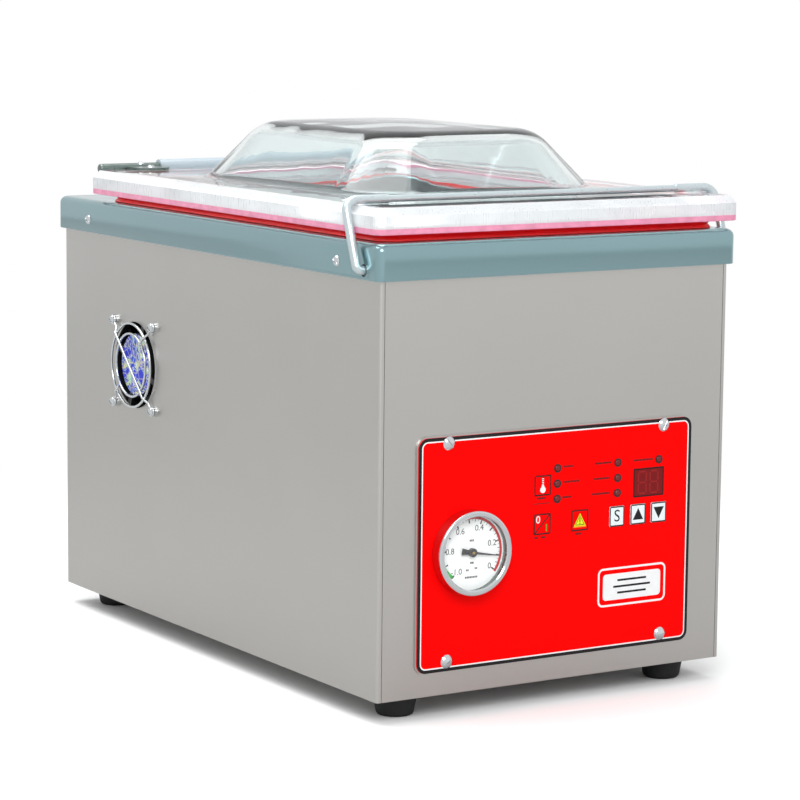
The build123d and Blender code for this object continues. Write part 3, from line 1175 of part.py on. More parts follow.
NODES = {
    "base_plate": base_plate,
    "left_side_panel": left_side_panel,
    "right_side_panel": right_side_panel,
    "front_panel": front_panel,
    "rear_panel": rear_panel,
    "top_cap": top_cap,
    "chamber_tub": chamber_tub,
    "suction_baffle": suction_baffle,
    "rubber_feet": rubber_feet,
    "foot_screws": foot_screws,
    "cap_side_screws": cap_side_screws,
    "lid_shell": lid_shell,
    "lid_gasket": lid_gasket,
    "pressure_bar": pressure_bar,
    "pressure_strip": pressure_strip,
    "hinge_leaves": hinge_leaves,
    "hinge_shaft": hinge_shaft,
    "hinge_screws": hinge_screws,
    "hinge_sleeve": hinge_sleeve,
    "hinge_springs": hinge_springs,
    "hinge_posts": hinge_posts,
    "bail": bail,
    "bail_bushes": bail_bushes,
    "control_plate": control_plate,
    "panel_overlay": panel_overlay,
    "panel_screws": panel_screws,
    "led_bezels": led_bezels,
    "led_lenses": led_lenses,
    "display_window": display_window,
    "control_board": control_board,
    "gauge_case": gauge_case,
    "gauge_bezel": gauge_bezel,
    "gauge_glass": gauge_glass,
    "gauge_dial": gauge_dial,
    "gauge_needle": gauge_needle,
    "fan_frame": fan_frame,
    "fan_rotor": fan_rotor,
    "fan_guard": fan_guard,
    "fan_screws": fan_screws,
    "seal_bar": seal_bar,
    "seal_element": seal_element,
    "lift_rods": lift_rods,
    "lift_cylinders": lift_cylinders,
    "pump_housing": pump_housing,
    "motor_housing": motor_housing,
    "motor_shaft": motor_shaft,
    "pump_mounts": pump_mounts,
    "exhaust_filter": exhaust_filter,
    "oil_sight_glass": oil_sight_glass,
    "vacuum_hose": vacuum_hose,
    "solenoid_valves": solenoid_valves,
    "transformer": transformer,
    "mains_inlet": mains_inlet,
    "fuse_holder": fuse_holder,
}


def main():
    os.makedirs("parts", exist_ok=True)
    for name, make in NODES.items():
        export_step(make(), f"parts/{name}.step")
    for name in KEYS:
        export_step(panel_key(name), f"parts/{name}.step")


if __name__ == "__main__":
    main()
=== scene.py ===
"""Looks of a table-top chamber vacuum packing machine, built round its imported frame.

Every length is in metres, in the frame's own axes: X to the right across the front, Y from the
front to the rear and Z up from the floor. A piece is one or more surfaces worked out as arrays
of points; a surface is rows of points, and each row has the same number of points.
"""

import json
from math import cos, pi, radians, sin, sqrt, tan

import bmesh
import bpy
import numpy as np
from bpy.props import FloatProperty, FloatVectorProperty, PointerProperty
from mathutils import Matrix, Vector


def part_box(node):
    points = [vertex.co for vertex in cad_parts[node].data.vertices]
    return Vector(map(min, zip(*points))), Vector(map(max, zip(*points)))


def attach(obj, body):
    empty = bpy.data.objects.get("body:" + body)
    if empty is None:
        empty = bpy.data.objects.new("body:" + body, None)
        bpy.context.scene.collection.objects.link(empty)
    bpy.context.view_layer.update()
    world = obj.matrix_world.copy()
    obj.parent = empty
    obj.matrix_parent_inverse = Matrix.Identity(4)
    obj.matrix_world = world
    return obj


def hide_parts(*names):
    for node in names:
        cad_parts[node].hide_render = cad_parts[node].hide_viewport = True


bl_info = {
    "name": "Chamber vacuum packer looks",
    "version": (1, 0, 0),
    "blender": (4, 5, 0),
    "location": "3D View > Sidebar > Packer",
    "description": "Builds the finished surfaces of a chamber vacuum packing machine round its frame",
    "category": "Object",
}

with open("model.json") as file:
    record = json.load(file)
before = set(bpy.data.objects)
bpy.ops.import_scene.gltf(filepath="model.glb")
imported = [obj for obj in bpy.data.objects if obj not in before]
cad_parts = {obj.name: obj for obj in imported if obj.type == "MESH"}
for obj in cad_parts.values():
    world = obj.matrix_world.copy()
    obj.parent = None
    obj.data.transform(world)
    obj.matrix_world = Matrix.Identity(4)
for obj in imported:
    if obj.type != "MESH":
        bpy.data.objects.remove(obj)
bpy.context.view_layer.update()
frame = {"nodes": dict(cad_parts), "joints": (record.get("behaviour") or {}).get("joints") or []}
MM = 0.001


# --- colour and materials -------------------------------------------------------------------------
def linear(code):
    """Turns a sRGB hex colour such as #AABBCC into linear red, green and blue."""
    channels = np.array([int(code[i:i + 2], 16) for i in (1, 3, 5)]) / 255
    low = channels / 12.92
    high = ((channels + 0.055) / 1.055) ** 2.4
    return tuple(np.where(channels <= 0.04045, low, high).tolist())


def add(tree, kind, sockets=(), **settings):
    """Adds one node; sockets maps an input's name or number to a value or to an output to link."""
    made = tree.nodes.new("ShaderNode" + kind)
    for name, value in settings.items():
        setattr(made, name, value)
    for name, value in dict(sockets).items():
        if isinstance(value, bpy.types.NodeSocket):
            tree.links.new(value, made.inputs[name])
        else:
            made.inputs[name].default_value = value
    return made


def blank(name):
    """A new material with its node tree and its shader."""
    material = bpy.data.materials.new(name)
    material.use_nodes = True
    tree = material.node_tree
    return material, tree, tree.nodes["Principled BSDF"]


def shades(colour, step):
    """A darker and a lighter shade of one linear colour."""
    return [tuple(min(1.0, c * (1 + sign * step)) for c in colour[:3]) + (1.0,) for sign in (-1, 1)]


def finish_of(name, colour, metallic, roughness, grain, depth, rough_spread=0.05, shade=0.03,
              drift=40 * MM, **shader_values):
    """One finish: a slow drift of shade, and a fine grain that roughens and dents the surface.

    grain is the pattern's size along X, Y and Z, and depth is how deep it is cut; drift is the
    size of the patches where the shade changes.
    """
    if name in bpy.data.materials:
        return bpy.data.materials[name]
    material, tree, shader = blank(name)
    place = add(tree, "TexCoord").outputs["Object"]
    stretched = add(tree, "Mapping", {"Vector": place, "Scale": tuple(1 / g for g in grain)})
    fine = add(tree, "TexNoise", {"Vector": stretched.outputs[0], "Scale": 1.0, "Detail": 3.0})
    slow = add(tree, "TexNoise", {"Vector": place, "Scale": 1 / drift, "Detail": 2.0})
    dark, light = shades(colour, shade)
    tint = add(tree, "Mix", {"Factor": slow.outputs[0], 6: dark, 7: light}, data_type="RGBA")
    tree.links.new(tint.outputs[2], shader.inputs["Base Color"])
    rough = add(tree, "MapRange", {"Value": fine.outputs[0], "To Min": max(0.0, roughness - rough_spread),
                                   "To Max": roughness + rough_spread})
    tree.links.new(rough.outputs[0], shader.inputs["Roughness"])
    dent = add(tree, "Bump", {"Height": fine.outputs[0], "Strength": 1.0, "Distance": depth})
    tree.links.new(dent.outputs[0], shader.inputs["Normal"])
    shader.inputs["Metallic"].default_value = metallic
    for socket, value in shader_values.items():
        shader.inputs[socket.replace("_", " ")].default_value = value
    return material


def satin_steel():
    """Stainless sheet ground to a satin: long level scratches and a soft, wide reflection."""
    return finish_of("satin_ground_stainless", tuple(looks("casing").steel), 1.0, 0.36,
                     (60 * MM, 60 * MM, 0.5 * MM), 0.006 * MM, 0.05, 0.02, 90 * MM)


def lacquered_steel():
    """Bright rolled stainless under a clear blue-grey lacquer: glossy, with faint rolling marks."""
    return finish_of("lacquered_rolled_stainless", tuple(looks("casing").cap), 0.85, 0.2,
                     (25 * MM, 4 * MM, 4 * MM), 0.008 * MM, 0.04, 0.03, 60 * MM,
                     Coat_Weight=0.6, Coat_Roughness=0.06)


def tub_steel():
    """Deep-drawn stainless with a 2B mill finish: even, cloudy and a little brighter than satin."""
    return finish_of("mill_finish_stainless", linear("#B9BEBF"), 1.0, 0.24, (3 * MM,) * 3, 0.01 * MM)


def bright_steel():
    """Polished chrome plate on screws, wires and the bezel: sharp reflections and fine wipe marks."""
    return finish_of("polished_chrome_plate", linear("#D6DADC"), 1.0, 0.12, (6 * MM, 1 * MM, 1 * MM),
                     0.002 * MM, 0.05, 0.02, 15 * MM)


def wire_steel():
    """Drawn steel wire with a pale satin zinc plate: soft highlights along the wire."""
    return finish_of("satin_zinc_wire", linear("#CBD6D9"), 0.75, 0.3, (4 * MM, 1 * MM, 1 * MM),
                     0.006 * MM, 0.08, 0.05, 20 * MM)


def turned_steel():
    """Turned dark steel: rings of fine tool marks across the shaft's length."""
    return finish_of("turned_dark_steel", linear("#77837F"), 0.9, 0.3, (0.6 * MM, 9 * MM, 9 * MM),
                     0.01 * MM, 0.08, 0.06, 12 * MM)


def zinc_steel():
    """Zinc-plated steel: dull grey with a spangle of slightly different crystals."""
    return finish_of("zinc_plated_steel", linear("#A9ADAE"), 1.0, 0.38, (2 * MM,) * 3, 0.008 * MM)


def grey_paint():
    """Satin grey paint on a drawn tube: soft orange-peel and a pale blue cast."""
    return finish_of("satin_painted_tube", linear("#A3AFB6"), 0.0, 0.34, (1.6 * MM,) * 3, 0.02 * MM,
                     0.05, 0.03, 30 * MM)


def foot_rubber():
    """Moulded nitrile rubber: matt black with a fine dusting of pale wear."""
    return finish_of("moulded_nitrile_rubber", linear("#1B1C1D"), 0.0, 0.62, (0.8 * MM,) * 3, 0.05 * MM,
                     0.12, 0.25, 6 * MM)


def red_silicone():
    """Extruded red silicone rubber: saturated, a little waxy, with fine lines along the strip."""
    return finish_of("extruded_red_silicone", tuple(looks("lid").gasket), 0.0, 0.38,
                     (8 * MM, 8 * MM, 0.4 * MM), 0.02 * MM, 0.08, 0.10, 14 * MM,
                     Subsurface_Weight=0.15, Subsurface_Scale=1.5 * MM)


def white_silicone():
    """Cast white silicone: soft and slightly yellow."""
    return finish_of("cast_white_silicone", linear("#E4E1D6"), 0.0, 0.5, (1 * MM,) * 3, 0.02 * MM)


def bar_aluminium():
    """Extruded aluminium bar: die lines along its length."""
    return finish_of("extruded_aluminium", linear("#C4C6C8"), 1.0, 0.3, (90 * MM, 0.5 * MM, 0.5 * MM),
                     0.01 * MM)


def red_film():
    """Back-printed polyester film: even saturated red under a smooth, faintly rippled gloss."""
    return finish_of("back_printed_red_film", tuple(looks("controls").film), 0.0, 0.38,
                     (2.5 * MM,) * 3, 0.006 * MM, 0.05, 0.01, 50 * MM, Specular_IOR_Level=0.05)


def key_film():
    """White key print under polyester film: cool white with a soft gloss."""
    return finish_of("white_key_film", linear("#EAF4F7"), 0.0, 0.3, (1.5 * MM,) * 3, 0.008 * MM,
                     0.05, 0.02, 10 * MM)


def ink(name, code):
    """Screen-printed ink: flat colour with a slightly grainy edge-to-edge coverage."""
    return finish_of(name, linear(code), 0.0, 0.45, (0.4 * MM,) * 3, 0.004 * MM, 0.08, 0.06, 5 * MM,
                     Specular_IOR_Level=0.3)


def black_plastic():
    """Injection-moulded black ABS: deep black with a fine spark texture."""
    return finish_of("moulded_black_abs", linear("#17181A"), 0.0, 0.42, (0.5 * MM,) * 3, 0.02 * MM)


def red_lens():
    """Clear red acrylic over an unlit lamp: dark, glossy ruby."""
    return finish_of("ruby_acrylic_lens", linear("#6E0508"), 0.0, 0.12, (3 * MM,) * 3, 0.004 * MM,
                     0.04, 0.10, 6 * MM, Coat_Weight=0.5, Coat_Roughness=0.04)


def display_filter():
    """Smoked red polycarbonate over a dark display: very dark red with a soft gloss."""
    return finish_of("smoked_red_polycarbonate", linear("#7A0004"), 0.0, 0.2, (4 * MM,) * 3, 0.004 * MM,
                     0.05, 0.08, 9 * MM, Specular_IOR_Level=0.3)


def board_resin():
    """Glass-epoxy board under green solder mask: faint weave and a soft gloss."""
    return finish_of("green_solder_mask", linear("#1E6B3A"), 0.0, 0.35, (0.8 * MM,) * 3, 0.01 * MM)


def dial_enamel():
    """Baked white enamel on the dial: smooth cool white."""
    return finish_of("baked_white_enamel", linear("#FBFFFE"), 0.0, 0.4, (1 * MM,) * 3, 0.003 * MM,
                     0.05, 0.015, 20 * MM)


def machined_brass():
    """Machined brass: warm yellow with fine turning lines."""
    return finish_of("machined_brass", linear("#B99652"), 1.0, 0.28, (0.5 * MM, 6 * MM, 6 * MM), 0.008 * MM)


def glass_cloth_tape():
    """Fluoropolymer-coated glass cloth: brown, waxy, with a woven relief."""
    return finish_of("coated_glass_cloth", linear("#8C7350"), 0.0, 0.4, (0.7 * MM, 0.7 * MM, 5 * MM),
                     0.05 * MM, 0.1, 0.12, 4 * MM)


def pump_enamel():
    """Sprayed machine enamel on cast iron: dark grey over the casting's pitted skin."""
    return finish_of("sprayed_machine_enamel", linear("#55606A"), 0.0, 0.42, (2.5 * MM,) * 3, 0.15 * MM)


def cast_aluminium():
    """Pressure-cast aluminium: pale grey, dull, with a sandy skin."""
    return finish_of("cast_aluminium", linear("#A7ABAE"), 1.0, 0.45, (1.2 * MM,) * 3, 0.08 * MM)


def hose_vinyl():
    """Reinforced milky vinyl hose: waxy with rings of thread under the skin."""
    return finish_of("reinforced_vinyl_hose", linear("#C9CCC6"), 0.0, 0.35, (4 * MM, 3 * MM, 3 * MM),
                     0.1 * MM)


def spring_wire():
    """Oil-tempered spring wire: dark blue-grey."""
    return finish_of("oil_tempered_wire", linear("#5B5F66"), 1.0, 0.35, (1 * MM,) * 3, 0.01 * MM)


def copper_winding():
    """Varnished copper winding: warm brown ridges of wire side by side."""
    return finish_of("varnished_copper_winding", linear("#8A4A22"), 0.3, 0.35, (30 * MM, 30 * MM, 0.9 * MM),
                     0.2 * MM)


def clear_plastic(name, tint_code, roughness, ripple, depth, ior=1.49):
    """A clear moulded or blown plastic: it bends light, and its surface ripples slowly."""
    if name in bpy.data.materials:
        return bpy.data.materials[name]
    material, tree, shader = blank(name)
    place = add(tree, "TexCoord").outputs["Object"]
    waves = add(tree, "TexNoise", {"Vector": place, "Scale": 1 / ripple, "Detail": 1.0})
    haze = add(tree, "TexNoise", {"Vector": place, "Scale": 1 / (6 * MM), "Detail": 4.0})
    rough = add(tree, "MapRange", {"Value": haze.outputs[0], "From Min": 0.35, "From Max": 0.75,
                                   "To Min": roughness * 0.5, "To Max": roughness * 1.5})
    dent = add(tree, "Bump", {"Height": waves.outputs[0], "Strength": 1.0, "Distance": depth})
    dark, light = shades(linear(tint_code), 0.01)
    tint = add(tree, "Mix", {"Factor": waves.outputs[0], 6: dark, 7: light}, data_type="RGBA")
    tree.links.new(tint.outputs[2], shader.inputs["Base Color"])
    tree.links.new(rough.outputs[0], shader.inputs["Roughness"])
    tree.links.new(dent.outputs[0], shader.inputs["Normal"])
    shader.inputs["Transmission Weight"].default_value = 1.0
    shader.inputs["IOR"].default_value = ior
    let_through = add(tree, "BsdfTransparent", {"Color": light})
    shadow = add(tree, "LightPath").outputs["Is Shadow Ray"]
    mixed = add(tree, "MixShader", {0: shadow, 1: shader.outputs[0], 2: let_through.outputs[0]})
    tree.links.new(mixed.outputs[0], tree.nodes["Material Output"].inputs["Surface"])
    return material


def blown_acrylic():
    """Heat-blown acrylic: glass-clear with slow ripples left by the blowing."""
    return clear_plastic("blown_acrylic", "#F4FAFA", 0.02, 70 * MM, 0.9 * MM)


def sawn_acrylic():
    """The acrylic's sawn edge and bevel: milky white with faint upright saw marks and a soft gloss."""
    return finish_of("sawn_acrylic_edge", linear("#E4E8EA"), 0.0, 0.3, (0.9 * MM, 0.9 * MM, 14 * MM),
                     0.05 * MM, 0.1, 0.14, 30 * MM, Transmission_Weight=0.3, Coat_Weight=0.4)


def painted_gasket_reflection():
    """Streaky pink and white painted on the foot of the sawn edge: a painted reflection of the red gasket
    seen in the clear acrylic.
    """
    return finish_of("sawn_acrylic_over_silicone", linear("#EE94B2"), 0.0, 0.35,
                     (0.7 * MM, 0.7 * MM, 6 * MM), 0.05 * MM, 0.1, 0.28, 7 * MM, Transmission_Weight=0.12)


def milled_groove():
    """Pale pink on the gasket's root, for the frosted groove that hides its red."""
    return finish_of("milled_acrylic_groove", linear("#F2E4E7"), 0.0, 0.5, (0.6 * MM,) * 3, 0.04 * MM,
                     0.08, 0.05, 12 * MM)


def watch_glass():
    """Flat instrument glass: clear with almost no ripple."""
    return clear_plastic("instrument_glass", "#FFFFFF", 0.01, 60 * MM, 0.02 * MM, 1.5)


def marbled_foil():
    """Printed holographic foil on the fan's hub: streaks of blue, white, yellow and green."""
    name = "marbled_foil_label"
    if name in bpy.data.materials:
        return bpy.data.materials[name]
    material, tree, shader = blank(name)
    place = add(tree, "TexCoord").outputs["Object"]
    streak = add(tree, "TexNoise", {"Vector": place, "Scale": 1 / (17 * MM), "Detail": 1.5,
                                    "Distortion": 2.2})
    colours = add(tree, "ValToRGB", {0: streak.outputs[0]})
    stops = [(0.30, "#0714C8"), (0.43, "#0B3BE0"), (0.46, "#F2F3DC"), (0.49, "#1D6FE8"), (0.54, "#0B22B8"),
             (0.57, "#F0F2A8"), (0.62, "#8FD8C8"), (0.68, "#F4F8F4")]
    ramp = colours.color_ramp
    while len(ramp.elements) < len(stops):
        ramp.elements.new(0.5)
    for element, (at, code) in zip(ramp.elements, stops):
        element.position = at
        element.color = linear(code) + (1.0,)
    lines = add(tree, "TexVoronoi", {"Vector": place, "Scale": 1 / (9 * MM)}, feature="DISTANCE_TO_EDGE")
    edge = add(tree, "MapRange", {"Value": lines.outputs["Distance"], "From Max": 0.05,
                                  "To Min": 1.0, "To Max": 0.0})
    gold = linear("#D8CFA6") + (1.0,)
    painted = add(tree, "Mix", {"Factor": edge.outputs[0], 6: colours.outputs[0], 7: gold},
                  data_type="RGBA")
    tree.links.new(painted.outputs[2], shader.inputs["Base Color"])
    shader.inputs["Metallic"].default_value = 0.1
    shader.inputs["Roughness"].default_value = 0.3
    return material


CAD_FINISHES = {
    satin_steel: ["base_plate", "front_panel", "rear_panel", "control_plate"],
    tub_steel: ["chamber_tub", "suction_baffle", "hinge_posts"],
    bright_steel: ["cap_side_screws", "hinge_screws", "panel_screws", "fan_screws", "lift_rods"],
    zinc_steel: ["foot_screws"],
    turned_steel: ["hinge_leaves", "gauge_case", "motor_shaft"],
    foot_rubber: ["pump_mounts"],
    white_silicone: ["pressure_strip"],
    bar_aluminium: ["pressure_bar", "seal_bar", "lift_cylinders"],
    glass_cloth_tape: ["seal_element"],
    spring_wire: ["hinge_springs"],
    machined_brass: ["bail_bushes", "solenoid_valves"],
    red_film: ["panel_overlay"],
    board_resin: ["control_board"],
    dial_enamel: ["gauge_dial"],
    black_plastic: ["fan_frame", "fan_rotor", "mains_inlet", "fuse_holder", "gauge_needle"],
    pump_enamel: ["pump_housing", "exhaust_filter"],
    cast_aluminium: ["motor_housing"],
    hose_vinyl: ["vacuum_hose"],
    watch_glass: ["oil_sight_glass"],
    copper_winding: ["transformer"],
}


# --- surfaces -------------------------------------------------------------------------------------
CREASE = 32.0               # degrees between two faces above which their edge stays sharp
MERGE = 0.001 * MM          # seam points closer than this become one
CUT_PAST = 5 * MM           # how far a cutter runs past the sheet that it cuts


def grid(points, wrap_rows=False, wrap_columns=False, close_first=False, close_last=False, paint=0):
    """Quads between neighbouring rows and columns of points; paint is the material's number.

    Rows or columns may run round to the first again, and the first or last row may be closed
    by one flat face.
    """
    rows, columns = points.shape[:2]
    index = np.arange(rows * columns).reshape(rows, columns)
    ends = []
    if close_first:
        ends.append(index[0][::-1].tolist())
    if close_last:
        ends.append(index[-1].tolist())
    if wrap_rows:
        index = np.vstack([index, index[:1]])
    if wrap_columns:
        index = np.hstack([index, index[:, :1]])
    quads = np.stack([index[:-1, :-1], index[1:, :-1], index[1:, 1:], index[:-1, 1:]], -1)
    faces = quads.reshape(-1, 4).tolist() + ends
    return points.reshape(-1, 3), faces, [paint] * len(faces)


def joined(parts):
    """The points and the faces of several surfaces, each as one list."""
    points = np.vstack([p for p, _, _ in parts])
    starts = np.cumsum([0] + [len(p) for p, _, _ in parts[:-1]]).tolist()
    faces = [[start + i for i in face] for (_, fs, _), start in zip(parts, starts) for face in fs]
    return points.tolist(), faces


def turn_outwards(mesh, merge=0.0):
    """Merges points closer than a distance, if one is given, and turns the faces outwards."""
    work = bmesh.new()
    work.from_mesh(mesh)
    if merge:
        bmesh.ops.remove_doubles(work, verts=work.verts, dist=merge)
    bmesh.ops.recalc_face_normals(work, faces=work.faces)
    work.to_mesh(mesh)
    work.free()


def into_scene(name, data):
    """Makes an object of a mesh, a camera or a lamp and links it to the scene."""
    made = bpy.data.objects.new(name, data)
    bpy.context.scene.collection.objects.link(made)
    return made


def put(name, parts, materials, body, replaces=(), crease=CREASE):
    """Makes one object of several surfaces, merges their seams and turns their faces outwards."""
    points, faces = joined(parts)
    mesh = bpy.data.meshes.new(name)
    mesh.from_pydata(points, [], faces)
    mesh.polygons.foreach_set("material_index", [m for _, _, ms in parts for m in ms])
    turn_outwards(mesh, MERGE)
    for material in materials:
        mesh.materials.append(material)
    piece = into_scene(name, mesh)
    smooth(piece, crease)
    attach(piece, body)
    if replaces:
        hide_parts(*replaces)
    return piece


def smooth(piece, crease):
    """Shades smoothly, with a sharp edge where faces meet at more than the crease angle."""
    mesh = piece.data
    mesh.polygons.foreach_set("use_smooth", [True] * len(mesh.polygons))
    mesh.set_sharp_from_angle(angle=radians(crease))
    mesh.update()


def round_bar(along, radius, ends, middle, steps=32):
    """A closed cutter: a round bar along X or Y between two ends, round a middle point."""
    profile = np.array([(radius, ends[0]), (radius, ends[1])])
    return lathe(profile, along, middle, steps)


def cut(piece, cutters):
    """Takes closed cutters away from a piece and keeps the result as its mesh."""
    points, faces = joined(cutters)
    mesh = bpy.data.meshes.new("cutter")
    mesh.from_pydata(points, [], faces)
    turn_outwards(mesh)
    tool = into_scene("cutter", mesh)
    change = piece.modifiers.new("holes", "BOOLEAN")
    change.object = tool
    change.operation = "DIFFERENCE"
    change.solver = "EXACT"
    bpy.context.view_layer.update()
    made = bpy.data.meshes.new_from_object(piece.evaluated_get(bpy.context.evaluated_depsgraph_get()))
    piece.modifiers.clear()
    piece.data = made
    bpy.data.objects.remove(tool)
    smooth(piece, CREASE)


def rounded_rows(centre, half, radius, level, steps=10):
    """Rows of points round a rectangle with arc corners, one row for each level.

    A corner point is the corner's centre plus the radius times the cosine and sine of its angle.
    Half sizes, radii and levels may be arrays, with one value for each row.
    """
    cx, cy, hx, hy, r, z = np.broadcast_arrays(*[np.atleast_1d(np.asarray(v, float)) for v in
                                                (*centre, *half, radius, level)])
    quarter = np.linspace(0, pi / 2, steps)
    angle = (np.arange(4)[:, None] * pi / 2 + quarter).ravel()
    side_x = np.repeat([1, -1, -1, 1], steps)
    side_y = np.repeat([1, 1, -1, -1], steps)
    x = cx[:, None] + (hx - r)[:, None] * side_x + r[:, None] * np.cos(angle)
    y = cy[:, None] + (hy - r)[:, None] * side_y + r[:, None] * np.sin(angle)
    return np.stack([x, y, np.broadcast_to(z[:, None], x.shape)], -1)


def upright(points):
    """Turns points drawn as right, up and towards the viewer into the front panel's axes."""
    return np.stack([points[..., 0], -points[..., 2], points[..., 1]], -1)


def lathe(profile, along, middle, steps=48, paint=0, hollow=False):
    """A profile of radius and distance turned round an axis, with flat ends or as a hollow ring."""
    profile = np.asarray(profile, float)
    angle = np.linspace(0, 2 * pi, steps, endpoint=False)
    radius = profile[:, :1] * np.ones(steps)
    level = profile[:, 1:] * np.ones(steps)
    a, b = radius * np.cos(angle), radius * np.sin(angle)
    order = {"x": (level, a, b), "y": (a, level, b), "z": (a, b, level)}[along]
    return grid(np.stack(order, -1) + np.array(middle), wrap_rows=hollow, wrap_columns=True,
                close_first=not hollow, close_last=not hollow, paint=paint)


def arc(centre, radius, start, end, steps=8):
    """Points on an arc, from one angle to another in degrees."""
    angle = np.radians(np.linspace(start, end, steps))
    return np.stack([centre[0] + radius * np.cos(angle), centre[1] + radius * np.sin(angle)], -1)


def bent_path(points, radii, steps=8):
    """Straight runs joined by tangent arcs: each arc's points turn about the centre of its bend."""
    points = [np.array(p, float) for p in points]
    path = [points[0]]
    for before, here, after, radius in zip(points, points[1:], points[2:], radii):
        back = (before - here) / np.linalg.norm(before - here)
        ahead = (after - here) / np.linalg.norm(after - here)
        half_angle = np.arccos(np.clip(back @ ahead, -1, 1)) / 2
        bisector = (back + ahead) / np.linalg.norm(back + ahead)
        centre = here + bisector * radius / sin(half_angle)
        first = here + back * radius / tan(half_angle) - centre
        last = here + ahead * radius / tan(half_angle) - centre
        whole = pi - 2 * half_angle
        t = np.linspace(0, 1, steps)[:, None]
        path.extend(centre + (np.sin((1 - t) * whole) * first + np.sin(t * whole) * last) / sin(whole))
    path.append(points[-1])
    return np.array(path)


def tube(path, radius, across, steps=20, paint=0):
    """A round wire along a path that lies in one plane, across which the given direction points."""
    tangent = np.gradient(path, axis=0)
    tangent /= np.linalg.norm(tangent, axis=1)[:, None]
    across = np.array(across, float) / np.linalg.norm(across)
    side = np.cross(across, tangent)
    angle = np.linspace(0, 2 * pi, steps, endpoint=False)
    radius = np.broadcast_to(np.asarray(radius, float), len(path))[:, None, None]
    ring = side[:, None] * np.cos(angle)[None, :, None] + across * np.sin(angle)[None, :, None]
    return grid(path[:, None] + radius * ring, wrap_columns=True, close_first=True, close_last=True,
                paint=paint)


def ring(centre, big, small, along, steps=72, sides=12, paint=0):
    """A torus: a small circle carried round a big circle about the given axis."""
    turn = np.linspace(0, 2 * pi, steps, endpoint=False)[:, None]
    roll = np.linspace(0, 2 * pi, sides, endpoint=False)[None, :]
    out = big + small * np.cos(roll)
    a, b, level = out * np.cos(turn), out * np.sin(turn), small * np.sin(roll) * np.ones_like(turn)
    order = {"x": (level, a, b), "y": (a, level, b), "z": (a, b, level)}[along]
    return grid(np.stack(order, -1) + np.array(centre), wrap_rows=True, wrap_columns=True, paint=paint)


def sheet_of(outline, low, high, paint=0):
    """A flat closed plate of an outline drawn as right and up, between two depths."""
    outline = np.asarray(outline, float)
    rows = np.stack([np.column_stack([outline, np.full(len(outline), d)]) for d in (low, high)])
    return grid(upright(rows), wrap_columns=True, close_first=True, close_last=True, paint=paint)


def frame_of(centre, half, radius, width, low, high, paint=0):
    """A flat rounded frame of a line's width, drawn as right and up, between two depths."""
    inner_r = max(radius - width, 0.05 * MM)
    outer = rounded_rows(centre, half, radius, [low, high])
    inner = rounded_rows(centre, (half[0] - width, half[1] - width), inner_r, [high, low])
    rows = np.concatenate([outer, inner])
    return grid(upright(rows), wrap_rows=True, wrap_columns=True, paint=paint)


def band(centre, inner, outer, start, end, low, high, paint=0, steps=40):
    """A flat band of a ring between two radii and two angles; each radius may be a pair of values."""
    angle = np.radians(np.linspace(start, end, steps))
    edges = [np.linspace(*np.broadcast_to(r, 2), steps) for r in (inner, outer)]
    loops = [np.stack([centre[0] + r * np.cos(angle), centre[1] + r * np.sin(angle)], -1) for r in edges]
    return sheet_of(np.vstack([loops[0], loops[1][::-1]]), low, high, paint)


def line_of(start, end, width, low, high, paint=0):
    """A straight printed line between two points."""
    start, end = np.array(start, float), np.array(end, float)
    side = np.array([start[1] - end[1], end[0] - start[0]])
    side *= width / 2 / np.linalg.norm(side)
    return sheet_of([start + side, end + side, end - side, start - side], low, high, paint)


def letters(text, size, centre, low, high, paint=0):
    """A figure from the built-in font, as a thin closed plate about a centre point."""
    curve = bpy.data.curves.new(text, "FONT")
    curve.body = text
    curve.size = size
    curve.align_x = "CENTER"
    curve.align_y = "CENTER"
    curve.extrude = (high - low) / 2
    curve.resolution_u = 4
    holder = bpy.data.objects.new(text, curve)
    mesh = bpy.data.meshes.new_from_object(holder)
    points = np.empty(len(mesh.vertices) * 3)
    mesh.vertices.foreach_get("co", points)
    faces = [list(p.vertices) for p in mesh.polygons]
    bpy.data.objects.remove(holder)
    bpy.data.meshes.remove(mesh)
    placed = points.reshape(-1, 3) + np.array([centre[0], centre[1], (low + high) / 2])
    return upright(placed), faces, [paint] * len(faces)


def middle_of(node):
    """The middle of a CAD node's box, its half sizes and its two corners, as arrays."""
    low, high = (np.array(corner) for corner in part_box(node))
    return (low + high) / 2, (high - low) / 2, low, high


def front_of(node):
    """A front node's centre and half sizes as right and up, and the depths of its face and back."""
    middle, half, low, high = middle_of(node)
    return (middle[0], middle[2]), (half[0], half[2]), -low[1], -high[1]


def looks(group):
    """The user's values for one group of pieces."""
    return getattr(bpy.context.scene, "packer_" + group)


# --- what a user may change -------------------------------------------------------------------------
def colour(name, description, code):
    """A colour that the sidebar can change."""
    return FloatVectorProperty(name=name, description=description, subtype="COLOR", min=0.0, max=1.0,
                               default=linear(code))


def length(name, description, value):
    """A length that the sidebar can change, given in millimetres."""
    return FloatProperty(name=name, description=description, unit="LENGTH", min=0.0, default=value * MM)


